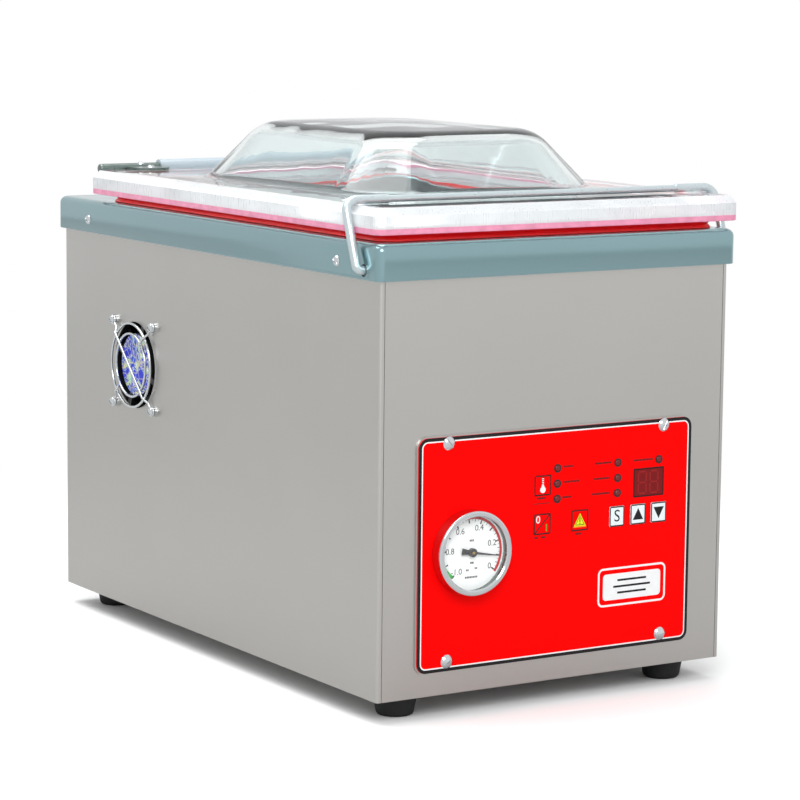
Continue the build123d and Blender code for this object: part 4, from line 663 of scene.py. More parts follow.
class CasingLooks(bpy.types.PropertyGroup):
    steel: colour("Panels", "Colour of the ground steel panels", "#C6C4C0")
    cap: colour("Cap", "Colour of the lacquered cap", "#88A8AD")
    sheet: length("Sheet", "Thickness of a side panel", 1.2)
    fold: length("Fold", "Radius of a side panel's folds, along the middle of the sheet", 1.8)
    cap_sheet: length("Cap sheet", "Thickness of the cap", 2.0)
    cap_edge: length("Cap edge", "Rounding along the cap's top edges", 6.0)
    cap_corner: length("Cap corner", "Rounding of the cap's upright corners", 7.0)
    opening_corner: length("Opening corner", "Rounding of the chamber opening's corners", 14.0)
    rim: length("Rim", "Width of the tub's rim outside the opening", 9.0)
    bail_hole: length("Bail hole", "Radius of the hole round the bail's end", 4.8)
    foot_bottom: length("Foot bottom", "Radius of a foot on the floor", 15.0)
    foot_top: length("Foot top", "Radius of a foot under the casing", 18.0)
    fan_hole: length("Fan hole", "Radius of the fan's opening", 37.0)


class LidLooks(bpy.types.PropertyGroup):
    gasket: colour("Gasket", "Colour of the silicone gasket", "#E00008")
    flange: length("Flange", "Thickness of the lid's flange", 20.0)
    bevel: length("Bevel", "Bevel along the flange's top edges", 6.0)
    # the pink band along the foot of the lid's edge is a painted reflection of the red gasket
    tint: length("Tinted edge", "Height of the pink tint along the foot of the lid's edge", 4.5)
    corner: length("Corner", "Rounding of the lid's upright corners", 8.0)
    dome_x: length("Dome half width", "Half width of the dome's foot", 118.0)
    dome_y: length("Dome half length", "Half length of the dome's foot", 156.0)
    dome_middle: FloatProperty(name="Dome middle", description="Middle of the dome along the machine",
                               unit="LENGTH", default=-25.0 * MM)
    dome_corner: length("Dome corner", "Corner rounding of the dome's foot", 62.0)
    dome_slope: FloatProperty(name="Dome slope", description="Lean of the dome's wall from upright",
                              subtype="ANGLE", default=radians(40.0))
    dome_wall: length("Dome wall", "Level thickness of the dome's wall", 8.0)
    dome_roof: length("Dome roof", "Thickness of the dome's top", 7.0)
    dome_edge: length("Dome edge", "Rounding round the dome's top", 30.0)
    dome_flare: length("Dome flare", "Rounding where the dome meets the flange", 14.0)
    crown: length("Crown", "Rise of the dome's top towards its middle", 3.0)
    gasket_groove: length("Gasket groove", "Depth of the V along the gasket", 2.4)
    gasket_corner: length("Gasket corner", "Corner rounding of the gasket", 14.0)
    gasket_width: length("Gasket width", "Width of the gasket's lips", 7.0)
    gasket_root: length("Gasket root", "Width of the root that the lid holds", 5.0)
    gasket_lips: length("Gasket lips", "Height of the lips under the lid", 6.3)


class WireLooks(bpy.types.PropertyGroup):
    bail: length("Bail wire", "Radius of the bail's legs", 3.5)
    bar: length("Bail bar", "Radius of the bail's cross bar between its collars", 2.7)
    bar_half: length("Bar half length", "Half length of the bar between its collars", 134.7)
    bend: length("Bail bend", "Bend radius at the bail's top corners", 10.0)
    end_bend: length("Bail end bend", "Bend radius where the bail turns into the cap", 4.4)
    guard: length("Guard wire", "Radius of the fan guard's wire", 1.1)
    outer_ring: length("Outer ring", "Radius of the guard's outer ring", 35.8)
    inner_ring: length("Inner ring", "Radius of the guard's inner ring", 27.0)
    pitch: length("Screw pitch", "Distance between the fan's screws", 71.5)


class ControlLooks(bpy.types.PropertyGroup):
    film: colour("Film", "Colour of the printed film", "#FF0000")
    print_depth: length("Print", "Height of the printed ink", 0.06)
    border: length("Border", "Width of the black border", 2.6)
    white_line: length("White line", "Width of the white line inside the border", 1.0)
    sheet_corner: length("Sheet corner", "Corner rounding of the film", 7.8)
    key_flange: length("Key flange", "Width of a key's hidden flange", 1.2)
    key_corner: length("Key corner", "Corner rounding of a key", 1.4)
    outline: length("Key outline", "Width of the line round a key", 0.9)


# --- casing -----------------------------------------------------------------------------------------
def side_panel(side, node):
    """A folded sheet: its section is a line with two bends, given thickness and drawn upwards."""
    casing = looks("casing")
    _, _, low, high = middle_of(node)
    outside = side * max(abs(low[0]), abs(high[0])) - side * casing.sheet / 2
    inside = side * min(abs(low[0]), abs(high[0]))
    ends = (low[1] + casing.sheet / 2, high[1] - casing.sheet / 2)
    corners = [(inside, ends[0]), (outside, ends[0]), (outside, ends[1]), (inside, ends[1])]
    line = bent_path(corners, [casing.fold] * 2, 6)
    tangent = np.gradient(line, axis=0)
    tangent /= np.linalg.norm(tangent, axis=1)[:, None]
    normal = np.stack([-tangent[:, 1], tangent[:, 0]], -1) * casing.sheet / 2
    outline = np.vstack([line + normal, (line - normal)[::-1]])
    rows = np.stack([np.column_stack([outline, np.full(len(outline), z)]) for z in (low[2], high[2])])
    section = grid(rows, wrap_columns=True, close_first=True, close_last=True)
    piece = put(node + "_sheet", [section], [satin_steel()], "casing", [node])
    pivot = joint_place("bail_swing")
    through = (outside - CUT_PAST, outside + CUT_PAST)
    holes = [round_bar("x", casing.bail_hole, through, (0, pivot[1], pivot[2]))]
    if side < 0:
        fan = middle_of("fan_guard")[0]
        holes.append(round_bar("x", casing.fan_hole, through, (0, fan[1], fan[2]), 72))
    cut(piece, holes)


def joint_place(name):
    """Where a joint's axis passes."""
    return np.array(next(j["pos_m"] for j in frame["joints"] if j["name"] == name))


def cap():
    """A drawn tray with a hole: rows go up the skirt, over the edge, to the hole and back inside."""
    casing = looks("casing")
    middle, half, low, high = middle_of("top_cap")
    tub, tub_half, _, _ = middle_of("chamber_tub")
    bottom, top, wall, edge = low[2], high[2], casing.cap_sheet, casing.cap_edge
    hem_in, hem_up, lip_round = 0.3 * MM, 0.5 * MM, 1.0 * MM
    tighten, tightest = 0.6, 2 * MM     # a corner's rounding shrinks by this share of the inset, to this
    over = arc((edge, top - edge), edge, 180, 90)
    under = arc((edge, top - edge), edge - wall, 90, 180)
    inset = np.concatenate([[hem_in, 0.0], over[:, 0]])
    level = np.concatenate([[bottom, bottom + hem_up], over[:, 1]])
    outside = rounded_rows(middle[:2], (half[0] - inset, half[1] - inset),
                           np.maximum(casing.cap_corner - inset * tighten, tightest), level)
    lip = arc((-lip_round, top - lip_round), lip_round, 90, 0, 4)
    hole_inset = np.concatenate([lip[:, 0], [0.0]])
    hole_level = np.concatenate([lip[:, 1], [top - wall]])
    opening = (tub_half[0] - casing.rim, tub_half[1] - casing.rim)
    hole = rounded_rows(tub[:2], (opening[0] - hole_inset, opening[1] - hole_inset),
                        casing.opening_corner - hole_inset, hole_level)
    inside = rounded_rows(middle[:2], (half[0] - under[:, 0], half[1] - under[:, 0]),
                          np.maximum(casing.cap_corner - under[:, 0] * tighten, tightest), under[:, 1])
    foot = rounded_rows(middle[:2], (half[0] - wall, half[1] - wall), casing.cap_corner - wall * tighten,
                        bottom)
    rows = np.concatenate([outside, hole, inside, foot])
    piece = put("cap_tray", [grid(rows, wrap_rows=True, wrap_columns=True)], [lacquered_steel()], "casing",
                ["top_cap"])
    pivot = joint_place("bail_swing")
    through = (low[0] - CUT_PAST, high[0] + CUT_PAST)
    cut(piece, [round_bar("x", casing.bail_hole, through, (0, pivot[1], pivot[2]))])


def feet():
    """Four turned feet: a hollow for the screw, a rounded rim and a side that widens upwards."""
    casing = looks("casing")
    middle, half, low, high = middle_of("rubber_feet")
    hollow, hollow_depth, rim_round, soft = 5.5 * MM, 9 * MM, 3.5 * MM, 0.6 * MM
    rim = arc((casing.foot_bottom - rim_round, rim_round), rim_round, -90, -8, 7)
    neck = [(casing.foot_top - soft, high[2] - 1.4 * MM), (casing.foot_top, high[2] - 0.8 * MM),
            (casing.foot_top, high[2])]
    profile = np.vstack([[(hollow, hollow_depth), (hollow, soft), (hollow + soft, 0)], rim, neck])
    reach = half - casing.foot_top
    places = [(sx * reach[0], sy * reach[1]) for sx in (-1, 1) for sy in (-1, 1)]
    parts = [lathe(profile, "z", (middle[0] + x, middle[1] + y, low[2])) for x, y in places]
    put("turned_feet", parts, [foot_rubber()], "casing", ["rubber_feet"])


# --- lid --------------------------------------------------------------------------------------------
def dome_rows(half, corner, shrink, base, height, edge, lean, crown, flare=0.0):
    """Rows of the dome from its foot to its middle.

    The wall leans inwards by the tangent of its angle, arcs join it to the flange and to the
    top, and the top rises as one minus the square of the distance from its middle.
    """
    turn = pi / 2 - lean
    rise = height - crown
    wall_top = rise * tan(lean)
    foot = np.array([(0.0, 0.0)])
    if flare:
        t = np.linspace(0, turn, 9)
        foot = np.stack([flare * np.sin(t) - flare * tan(turn / 2), flare - flare * np.cos(t)], -1)
    t = np.linspace(turn, radians(5), 15)
    over = np.stack([wall_top + edge * tan(turn / 2) - edge * np.sin(t), rise - edge + edge * np.cos(t)], -1)
    profile = np.vstack([foot, over])
    inset, level = profile[:, 0], profile[:, 1]
    radius = corner - inset * shrink
    share = np.linspace(0.94, 0.01, 12)
    last = half[0] - inset[-1], half[1] - inset[-1]
    hx = np.concatenate([half[0] - inset, last[0] * share])
    hy = np.concatenate([half[1] - inset, last[1] * share])
    radius = np.concatenate([radius, radius[-1] * share])
    level = np.concatenate([level, level[-1] + crown * (1 - share**2)])
    return hx, hy, radius, base + level


def lid():
    """The clear lid: a bevelled flange whose top runs up into the dome, and a hollow from below."""
    lid = looks("lid")
    middle, half, low, high = middle_of("lid_shell")
    bottom = low[2]
    top = bottom + lid.flange
    soft = 0.4 * MM
    inset = np.array([soft, 0, 0, 0])
    side = rounded_rows(middle[:2], (half[0] - inset, half[1] - inset), lid.corner,
                        [bottom, bottom + soft, bottom + lid.tint, top - lid.bevel])
    bevel = rounded_rows(middle[:2], (half[0] - np.array([0, lid.bevel]), half[1] - np.array([0, lid.bevel])),
                         [lid.corner, lid.corner - lid.bevel], [top - lid.bevel, top])
    centre = (0.0, lid.dome_middle)
    hx, hy, radius, level = dome_rows((lid.dome_x, lid.dome_y), lid.dome_corner, 0.55, top, high[2] - top,
                                      lid.dome_edge, lid.dome_slope, lid.crown, lid.dome_flare)
    dome = rounded_rows(centre, (hx, hy), radius, level)
    grow = lid.flange * tan(lid.dome_slope) - lid.dome_wall
    hx, hy, radius, level = dome_rows((lid.dome_x + grow, lid.dome_y + grow), lid.dome_corner + grow, 0.75,
                                      bottom, high[2] - lid.dome_roof - bottom, lid.dome_edge - lid.dome_roof,
                                      lid.dome_slope, lid.crown)
    hollow = rounded_rows(centre, (hx, hy), radius, level)
    # the foot of the edge, up to the band's height, is painted pink as a painted reflection of the red gasket
    parts = [grid(side[:3], wrap_columns=True, paint=2),
             grid(side[2:], wrap_columns=True, paint=1),
             grid(bevel, wrap_columns=True, paint=1),
             grid(np.concatenate([bevel[1:], dome]), wrap_columns=True, close_last=True),
             grid(np.concatenate([side[:1], hollow]), wrap_columns=True, close_last=True)]
    put("clear_lid", parts, [blown_acrylic(), sawn_acrylic(), painted_gasket_reflection()], "lid",
        ["lid_shell"])


def gasket():
    """A seal carried round the lid: two lips with a V between them, and a root up inside the lid."""
    lid = looks("lid")
    middle, half, low, high = middle_of("lid_gasket")
    top = low[2] + lid.gasket_lips
    vee = (low[2] + top) / 2
    step = (lid.gasket_width - lid.gasket_root) / 2
    sunk = 0.2 * MM
    nose = 0.35 * MM
    profile = np.array([(nose, low[2]), (0, low[2] + nose), (0, low[2] + 2.2 * nose),
                        (lid.gasket_groove, vee), (0, top - nose), (0, top + sunk), (step, top + sunk),
                        (step, high[2]), (step + lid.gasket_root, high[2]),
                        (step + lid.gasket_root, top + sunk), (lid.gasket_width, top + sunk),
                        (lid.gasket_width, low[2])])
    inset, level = profile[:, 0], profile[:, 1]
    rows = rounded_rows(middle[:2], (half[0] - inset, half[1] - inset), lid.gasket_corner - inset, level, 14)
    root_from, root_to = 6, 9           # the rows between which the root stands up into the lid
    lips = np.concatenate([rows[root_to:], rows[:root_from + 1]])
    root = rows[root_from:root_to + 1]
    parts = [grid(lips, wrap_columns=True), grid(root, wrap_columns=True, paint=1)]
    put("seal_ring", parts, [red_silicone(), milled_groove()], "lid", ["lid_gasket"],
        crease=25.0)


def hinge_sleeve():
    """A painted tube with softened ends round the hinge shaft."""
    middle, half, _, _ = middle_of("hinge_sleeve")
    radius, bore, soft = half[2], 4.3 * MM, 0.8 * MM
    right = arc((half[0] - soft, radius - soft), soft, 0, 90, 5)[:, ::-1]
    left = right[::-1] * (1, -1)
    profile = np.vstack([[(bore, half[0])], right, left, [(bore, -half[0])]])
    put("painted_sleeve", [lathe(profile, "x", middle, hollow=True)], [grey_paint()], "casing",
        ["hinge_sleeve"])


# --- wires ------------------------------------------------------------------------------------------
def bail():
    """One bent wire: it comes out of the cap, rises beside the lid and crosses over its front."""
    wires = looks("wires")
    pivot = joint_place("bail_swing")
    high = middle_of("bail")[3]
    side = high[0] - wires.bail
    over = (high[1] - wires.bail, high[2] - wires.bail)
    turned_in = 21.7 * MM               # from the leg's middle to the tip inside the cap
    end = side - turned_in
    step = 0.25 * MM
    collar = (wires.bar_half + step, wires.bar_half - step)
    right = bent_path([(end, *pivot[1:]), (side, *pivot[1:]), (side, *over), (collar[0], *over)],
                      [wires.end_bend, wires.bend], 12)
    path = np.vstack([right, [(collar[1], *over)], [(-collar[1], *over)], right[::-1] * (-1, 1, 1)])
    bar = (np.abs(path[:, 0]) < wires.bar_half) & (path[:, 2] > over[1] - step)
    radius = np.where(bar, wires.bar, wires.bail)
    across = np.cross((1, 0, 0), (0, over[0] - pivot[1], over[1] - pivot[2]))
    put("bent_wire_bail", [tube(path, radius, across, 24)], [wire_steel()], "bail", ["bail"])


def fan_guard():
    """Two wire rings, a wire that steps over them from corner to corner, and two short arms."""
    wires = looks("wires")
    middle, _, low, high = middle_of("fan_guard")
    plane = low[0] + wires.guard
    back = high[0] - wires.guard
    front = plane - 1.7 * wires.guard   # the crossing wires lie pressed a little into the rings
    centre = (plane, middle[1], middle[2])
    parts = [ring(centre, r, wires.guard, "x") for r in (wires.outer_ring, wires.inner_ring)]
    corner = wires.pitch / 2
    eyelet, bend_round = 3.3 * MM, 2 * MM
    reach = corner * sqrt(2) - 3.2 * MM
    bend = wires.outer_ring + 5.5 * MM
    section = [(-reach, back), (-bend, back), (-wires.outer_ring, front), (wires.outer_ring, front),
               (bend, back), (reach, back)]
    line = bent_path(section, [bend_round] * 4, 6)
    diagonal = np.array((0, 1, 1)) / sqrt(2)
    path = np.array((0, middle[1], middle[2])) + line[:, :1] * diagonal + line[:, 1:] * (1, 0, 0)
    parts.append(tube(path, wires.guard, (0, 1, -1), 12))
    slope = np.array((0, -1, 1)) / sqrt(2)
    for way in (-1, 1):
        arm = bent_path([(reach, back), (bend, back), (wires.outer_ring, front), (wires.inner_ring, front)],
                        [bend_round] * 2, 6)
        path = np.array((0, middle[1], middle[2])) + way * arm[:, :1] * slope + arm[:, 1:] * (1, 0, 0)
        parts.append(tube(path, wires.guard, (0, 1, 1), 12))
    for sy in (-1, 1):
        for sz in (-1, 1):
            eye = (back, middle[1] + sy * corner, middle[2] + sz * corner)
            parts.append(ring(eye, eyelet, wires.guard, "x", 32, 10))
    put("wire_fan_guard", parts, [bright_steel()], "casing", ["fan_guard"])


def fan_label():
    """A thin round label on the fan's hub."""
    middle = middle_of("fan_guard")[0]
    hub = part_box("fan_frame")[0].x
    radius, thickness = 26.6 * MM, 0.15 * MM
    disc = lathe([(radius, hub - thickness), (radius, hub)], "x", (0, middle[1], middle[2]), 64)
    put("foil_label", [disc], [marbled_foil()], "casing")


# --- control panel ------------------------------------------------------------------------------------
INKS = {"black_screen_ink": "#141214", "white_screen_ink": "#F4F6F6", "green_screen_ink": "#2FA526",
        "orange_screen_ink": "#F39A1E", "yellow_screen_ink": "#E4F01C"}
CAPTIONS = [                # left end, height above the film's middle and length, in millimetres
    (5.0, 58.7, 9.5), (4.6, 46.6, 15.5), (4.2, 34.6, 9.0), (34.6, 58.7, 16.0), (33.4, 46.5, 16.0),
    (32.0, 34.6, 17.6), (72.4, 58.3, 18.4), (-19.9, 35.6, 8.6), (-21.6, 4.8, 3.2), (-15.6, 4.8, 4.2),
    (17.0, 4.6, 5.8)]


def screen_inks(count):
    """The first few screen inks, in the order in which a print numbers them."""
    return [ink(name, code) for name, code in list(INKS.items())[:count]]


def caption(left, height, run, face, depth, paint):
    """A row of small plain blocks where a caption would be."""
    pitch, gap, tall = 1.45 * MM, 0.35 * MM, 1.5 * MM
    count = max(2, round(run / pitch))
    parts = []
    for i in range(count):
        x = left + i * run / count
        end = x + run / count - gap
        block = [(x, height), (end, height), (end, height + tall), (x, height + tall)]
        parts.append(sheet_of(block, face - depth, face + depth, paint))
    return parts


def panel_print():
    """Border, line, captions and a plain name badge, printed on the red film."""
    controls = looks("controls")
    centre, span, face, _ = front_of("panel_overlay")
    depth = controls.print_depth
    low, high = face - depth, face + depth
    black, white = 0, 1
    inner = (span[0] - controls.border, span[1] - controls.border)
    parts = [frame_of(centre, span, controls.sheet_corner, controls.border, low, high, black),
             frame_of(centre, inner, controls.sheet_corner - controls.border, controls.white_line,
                      low, high, white)]
    for left, height, run in CAPTIONS:
        parts += caption(left * MM, centre[1] + height * MM, run * MM, face, depth, black)
    rule_left, rule_right, rule_up, rule_width = -22.8 * MM, -8.0 * MM, 32.2 * MM, 0.5 * MM
    parts.append(line_of((rule_left, centre[1] + rule_up), (rule_right, centre[1] + rule_up), rule_width,
                         low, high, black))
    badge = (72.5 * MM, centre[1] - span[1] + 50.0 * MM)
    badge_half, badge_corner, stroke = (33 * MM, 15.5 * MM), 5 * MM, 1.6 * MM
    parts.append(frame_of(badge, badge_half, badge_corner, stroke, low, high, white))
    plate_half, plate_corner = (28 * MM, 10.5 * MM), 3 * MM
    plate = rounded_rows(badge, plate_half, plate_corner, 0.0)[0, :, :2]
    parts.append(sheet_of(plate, low, high, white))
    for row in (-1, 0, 1):
        width = (18 - 4 * abs(row)) * MM
        level = badge[1] + row * 5 * MM
        parts.append(line_of((badge[0] - width, level), (badge[0] + width, level), stroke,
                             face, face + 2 * depth, black))
    put("panel_print", parts, screen_inks(2), "casing")


def thermometer_sign(centre, half, low, high):
    """A white bulb, and a stem of white strokes with black ones between them."""
    cx, cz = centre
    stem, bulb, step = 0.8 * MM, 2.5 * MM, 1.4 * MM
    rounding = arc((cx, cz - 3.4 * MM), bulb, -230, 50, 24)
    drop = np.vstack([rounding, [(cx + stem, cz + 0.4 * MM), (cx - stem, cz + 0.4 * MM)]])
    parts = [sheet_of(drop, low, high, 2)]
    for i in range(4):
        z = cz + 1.1 * MM + step * i
        parts.append(line_of((cx - stem, z), (cx + stem, z), 0.75 * MM, low, high, 2))
        z += step / 2
        parts.append(line_of((cx - stem, z), (cx + stem, z), 0.65 * MM, low, high, 1))
    return parts


def power_sign(centre, half, low, high):
    """A white nought and a green one, with a black line from corner to corner between them."""
    (cx, cz), (hx, hz) = centre, half
    size, reach, right, up = 8.5 * MM, 0.88, 0.5, 0.42
    slash = line_of((cx - hx * reach, cz - hz * reach), (cx + hx * reach, cz + hz * reach), 0.9 * MM,
                    low, high, 1)
    return [slash, letters("0", size, (cx - hx * right, cz + hz * up), low, high, 2),
            letters("1", size, (cx + hx * right, cz - hz * up), low, high, 3)]


def warning_sign(centre, half, low, high):
    """Four triangles, each a little smaller and higher than the last, and a black stroke and dot."""
    cx, cz = centre
    lift = 0.01 * MM
    parts = []
    layers = ((1.0, -0.6, 4), (0.9, -0.1, 5), (0.72, -0.3, 1), (0.6, -0.4, 5))
    for i, (grow, shift, paint) in enumerate(layers):
        wide, top, foot = 6.2 * MM * grow, 6.3 * MM * grow, -4.9 * MM * grow
        corners = np.array([(cx - wide, cz + foot), (cx + wide, cz + foot), (cx, cz + top)])
        parts.append(sheet_of(corners + (0, shift * MM), low, high + i * lift, paint))
    mark = high + 4 * lift
    for start, end, width in ((-1.6, 2.2, 0.8), (-3.0, -2.2, 0.9)):
        parts.append(line_of((cx, cz + start * MM), (cx, cz + end * MM), width * MM, low, mark, 1))
    return parts


def select_sign(centre, half, low, high):
    """A black S."""
    return [letters("S", 13.5 * MM, centre, low, high, 1)]


def arrow_sign(centre, way, low, high):
    """A black triangle that points up or down."""
    cx, cz = centre
    wide, foot, tip = 5.0 * MM, 4.3 * MM, 5.0 * MM
    corners = [(cx - wide, cz - way * foot), (cx + wide, cz - way * foot), (cx, cz + way * tip)]
    return [sheet_of(corners, low, high, 1)]


def up_sign(centre, half, low, high):
    """A triangle that points up."""
    return arrow_sign(centre, 1, low, high)


def down_sign(centre, half, low, high):
    """A triangle that points down."""
    return arrow_sign(centre, -1, low, high)


SIGNS = {"thermometer_key": thermometer_sign, "power_key": power_sign, "stop_key": warning_sign,
         "select_key": select_sign, "up_key": up_sign, "down_key": down_sign}


def key(name, body_finish):
    """A key: a hidden flange, a cap that swells slightly in the middle, and its printed sign.

    Its materials are the body's finish as number 0 and then the screen inks in their order.
    """
    controls = looks("controls")
    centre, half, face, back = front_of(name)
    span = np.array(half) - controls.key_flange
    swell, edge_round, flange_depth, line_inset = 0.12 * MM, 0.15 * MM, 1.3 * MM, 0.1 * MM
    share = np.linspace(0.9, 0.02, 6)
    flange = rounded_rows(centre, half, controls.key_corner, [back, back + flange_depth])
    inset = np.array([0, 0, edge_round])
    edge = rounded_rows(centre, (span[0] - inset, span[1] - inset), controls.key_corner - 0.25 * MM,
                        [back + flange_depth, face - swell - edge_round, face - swell])
    crown = rounded_rows(centre, (span[0] * share, span[1] * share), controls.key_corner * share,
                         face - swell * share**2)
    rows = np.concatenate([flange, edge, crown])
    low, high = face - 0.3 * MM, face + 0.02 * MM
    parts = [grid(upright(rows), wrap_columns=True, close_first=True, close_last=True),
             frame_of(centre, tuple(span - line_inset), controls.key_corner, controls.outline, low, high, 1)]
    parts += SIGNS[name](centre, span, low, high)
    put(name + "_cap", parts, [body_finish, *screen_inks(5)], name, [name])


def display():
    """The window: a pane with a dark edge, and two digits whose unlit segments just show."""
    centre, half, face, back = front_of("display_window")
    corner, soft = 1 * MM, 0.3 * MM
    inset = np.array([0, 0, soft])
    pane = rounded_rows(centre, (half[0] - inset, half[1] - inset), corner, [back, face - soft, face])
    under, proud = face - 0.05 * MM, face + 0.03 * MM
    parts = [grid(upright(pane), wrap_columns=True, close_first=True, close_last=True),
             frame_of(centre, half, corner, 1.1 * MM, under, face + 0.06 * MM, 1)]
    tall, wide, width, gap = 4.3 * MM, 3.1 * MM, 1.3 * MM, 0.8 * MM
    for x in (centre[0] - 6.2 * MM, centre[0] + 5.2 * MM):
        for row in (-1, 0, 1):
            z = centre[1] + row * 2 * tall
            parts.append(line_of((x - wide, z), (x + wide, z), width, under, proud, 2))
        for side in (-1, 1):
            upright_x = x + side * (wide + 0.7 * MM)
            for row in (-1, 1):
                z = centre[1] + row * tall
                parts.append(line_of((upright_x, z - tall + gap), (upright_x, z + tall - gap), width,
                                     under, proud, 2))
    finishes = [display_filter(), ink("dark_red_edge_ink", "#2A0004"), ink("unlit_segment_ink", "#960A0C")]
    put("display_pane", parts, finishes, "casing", ["display_window"])


def lamps():
    """The lamps keep their rings and lenses from the frame, with deeper finishes."""
    dress("led_bezels", black_plastic())
    dress("led_lenses", red_lens())


# --- gauge --------------------------------------------------------------------------------------------
ZERO, FULL = -36.0, 227.0   # where the dial's scale begins and ends, in degrees above level
FIGURES = ("0", "0.2", "0.4", "0.6", "0.8", "-1.0")
DIAL_CAPTIONS = [           # left end and height from the dial's middle, and length, in millimetres
    (-1.6, 8.4, 4.0), (-1.0, -9.0, 3.4), (-4.6, -14.4, 2.6), (3.2, -13.4, 2.6), (-5.5, -20.0, 11.5)]


def gauge_bezel():
    """A turned ring: a deep outer wall, a rounded front edge and a lip that slopes to the glass."""
    middle, half, low, high = middle_of("gauge_bezel")
    radius, front, back = half[0], low[1], high[1]
    wall, lip, soft, chamfer, lip_back = 2.4 * MM, 4.6 * MM, 1.8 * MM, 0.5 * MM, 1.2 * MM
    nose = arc((radius - soft, front + soft), soft, 0, -90, 8)
    profile = np.vstack([[(radius - chamfer, back), (radius, back - chamfer)], nose,
                         [(radius - lip + 0.8 * MM, front + 0.25 * MM), (radius - lip, front + 1.0 * MM),
                          (radius - lip, front + lip_back), (radius - wall, front + lip_back),
                          (radius - wall, back)]])
    put("turned_bezel", [lathe(profile, "y", (middle[0], 0, middle[2]), 96, hollow=True)], [bright_steel()],
        "casing", ["gauge_bezel"])


def on_dial(centre, radius, degrees):
    """A point on the dial at a radius and an angle above level."""
    return (centre[0] + radius * cos(radians(degrees)), centre[1] + radius * sin(radians(degrees)))


def tick(index):
    """The length and width of one of the dial's 41 ticks; the upper half's small ones are shorter."""
    run, wide = (3.0, 1.1) if index % 4 == 0 else (1.6, 0.5) if index % 2 == 0 else (1.0, 0.3)
    if index > 20 and index % 4:
        run *= 0.7
    return run * MM, wide * MM


def dial_print():
    """Ticks, figures, a red band and a green wedge printed on the enamel."""
    centre, _, face, _ = front_of("gauge_dial")
    depth, rim, scale = 0.05 * MM, 25.6 * MM, FULL - ZERO
    low, high = face - depth, face + depth
    black, red, green = 0, 1, 2
    parts = []
    for i in range(41):
        angle = ZERO + scale * i / 40
        run, wide = tick(i)
        parts.append(line_of(on_dial(centre, rim - run, angle), on_dial(centre, rim, angle), wide,
                             low, high, black))
    for i, text in enumerate(FIGURES):
        place = on_dial(centre, (19.6 if i else 20.5) * MM, ZERO + scale * i / 5)
        parts.append(letters(text, 6.6 * MM, place, low, high, black))
    parts.append(band(centre, rim + 0.1 * MM, rim + 2.3 * MM, ZERO - 2, ZERO + scale * 0.6, low, high, red))
    parts.append(band(centre, (rim - 0.2 * MM, rim - 2.2 * MM), (rim + 0.6 * MM, rim + 1.4 * MM),
                      FULL - 30, FULL, low, high, green))
    for dx, dz, run in DIAL_CAPTIONS:
        parts += caption(centre[0] + dx * MM, centre[1] + dz * MM, run * MM, face, depth, black)
    put("dial_print", parts, [ink("black_dial_ink", "#101214"), ink("red_dial_ink", "#C8000A"),
                              ink("green_dial_ink", "#1FBE3C")], "casing")


def needle_pin():
    """The domed brass pin that holds the needle on its spindle."""
    middle = middle_of("gauge_dial")[0]
    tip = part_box("gauge_needle")[0].y
    radius, proud = 1.2 * MM, 0.1 * MM
    profile = np.vstack([[(radius, tip + 0.2 * MM), (radius, tip - proud)],
                         arc((0.0, tip - proud), radius, 0, -86, 6)])
    put("needle_pin", [lathe(profile, "y", (middle[0], 0, middle[2]), 24)], [machined_brass()],
        "gauge_needle")


# --- carried-over nodes -------------------------------------------------------------------------------
def dress(node, material):
    """Puts a finish in every material slot of a CAD node."""
    for holder in frame["nodes"][node].material_slots:
        holder.material = material


# --- stage --------------------------------------------------------------------------------------------
CAMERA_AT = (-1.3394, -2.1686, 0.5657)
CAMERA_TURN = 32.134        # degrees to the right of straight ahead
CAMERA_DOWN = 8.039
CAMERA_ROLL = 0.5875
CAMERA_LENS = 136.64
LAMPS = {                   # where each lamp is, the length of its side and its watts
    "overhead": ((-0.3, 0.3, 1.9), 1.6, 30),
    "left_front": ((-1.0, -1.8, 1.4), 1.0, 20)}
LAMPS_FACE = (0, 0, 0.25)
FRONT_TONE = (0.92, 0.93, 0.94, 1)
REAR_TONE = (0.80, 0.81, 0.82, 1)


def camera():
    """Looks along a direction of a given turn and dip, rolled about it."""
    turn, down, roll = radians(CAMERA_TURN), radians(CAMERA_DOWN), radians(CAMERA_ROLL)
    ahead = Vector((sin(turn) * cos(down), cos(turn) * cos(down), -sin(down)))
    level = Vector((cos(turn), -sin(turn), 0))
    up = level.cross(ahead)
    right = level * cos(roll) + up * sin(roll)
    above = up * cos(roll) - level * sin(roll)
    data = bpy.data.cameras.new("camera")
    data.lens = CAMERA_LENS
    data.sensor_width = 36
    holder = into_scene("camera", data)
    holder.matrix_world = Matrix.Translation(CAMERA_AT) @ Matrix((right, above, -ahead)).transposed().to_4x4()
    bpy.context.scene.camera = holder


def seen_straight(tree):
    """One where the eye looks directly or through something clear, and nothing for reflections."""
    path = add(tree, "LightPath").outputs
    return add(tree, "Math", {0: path["Is Camera Ray"], 1: path["Is Transmission Ray"]},
               operation="MAXIMUM").outputs[0]


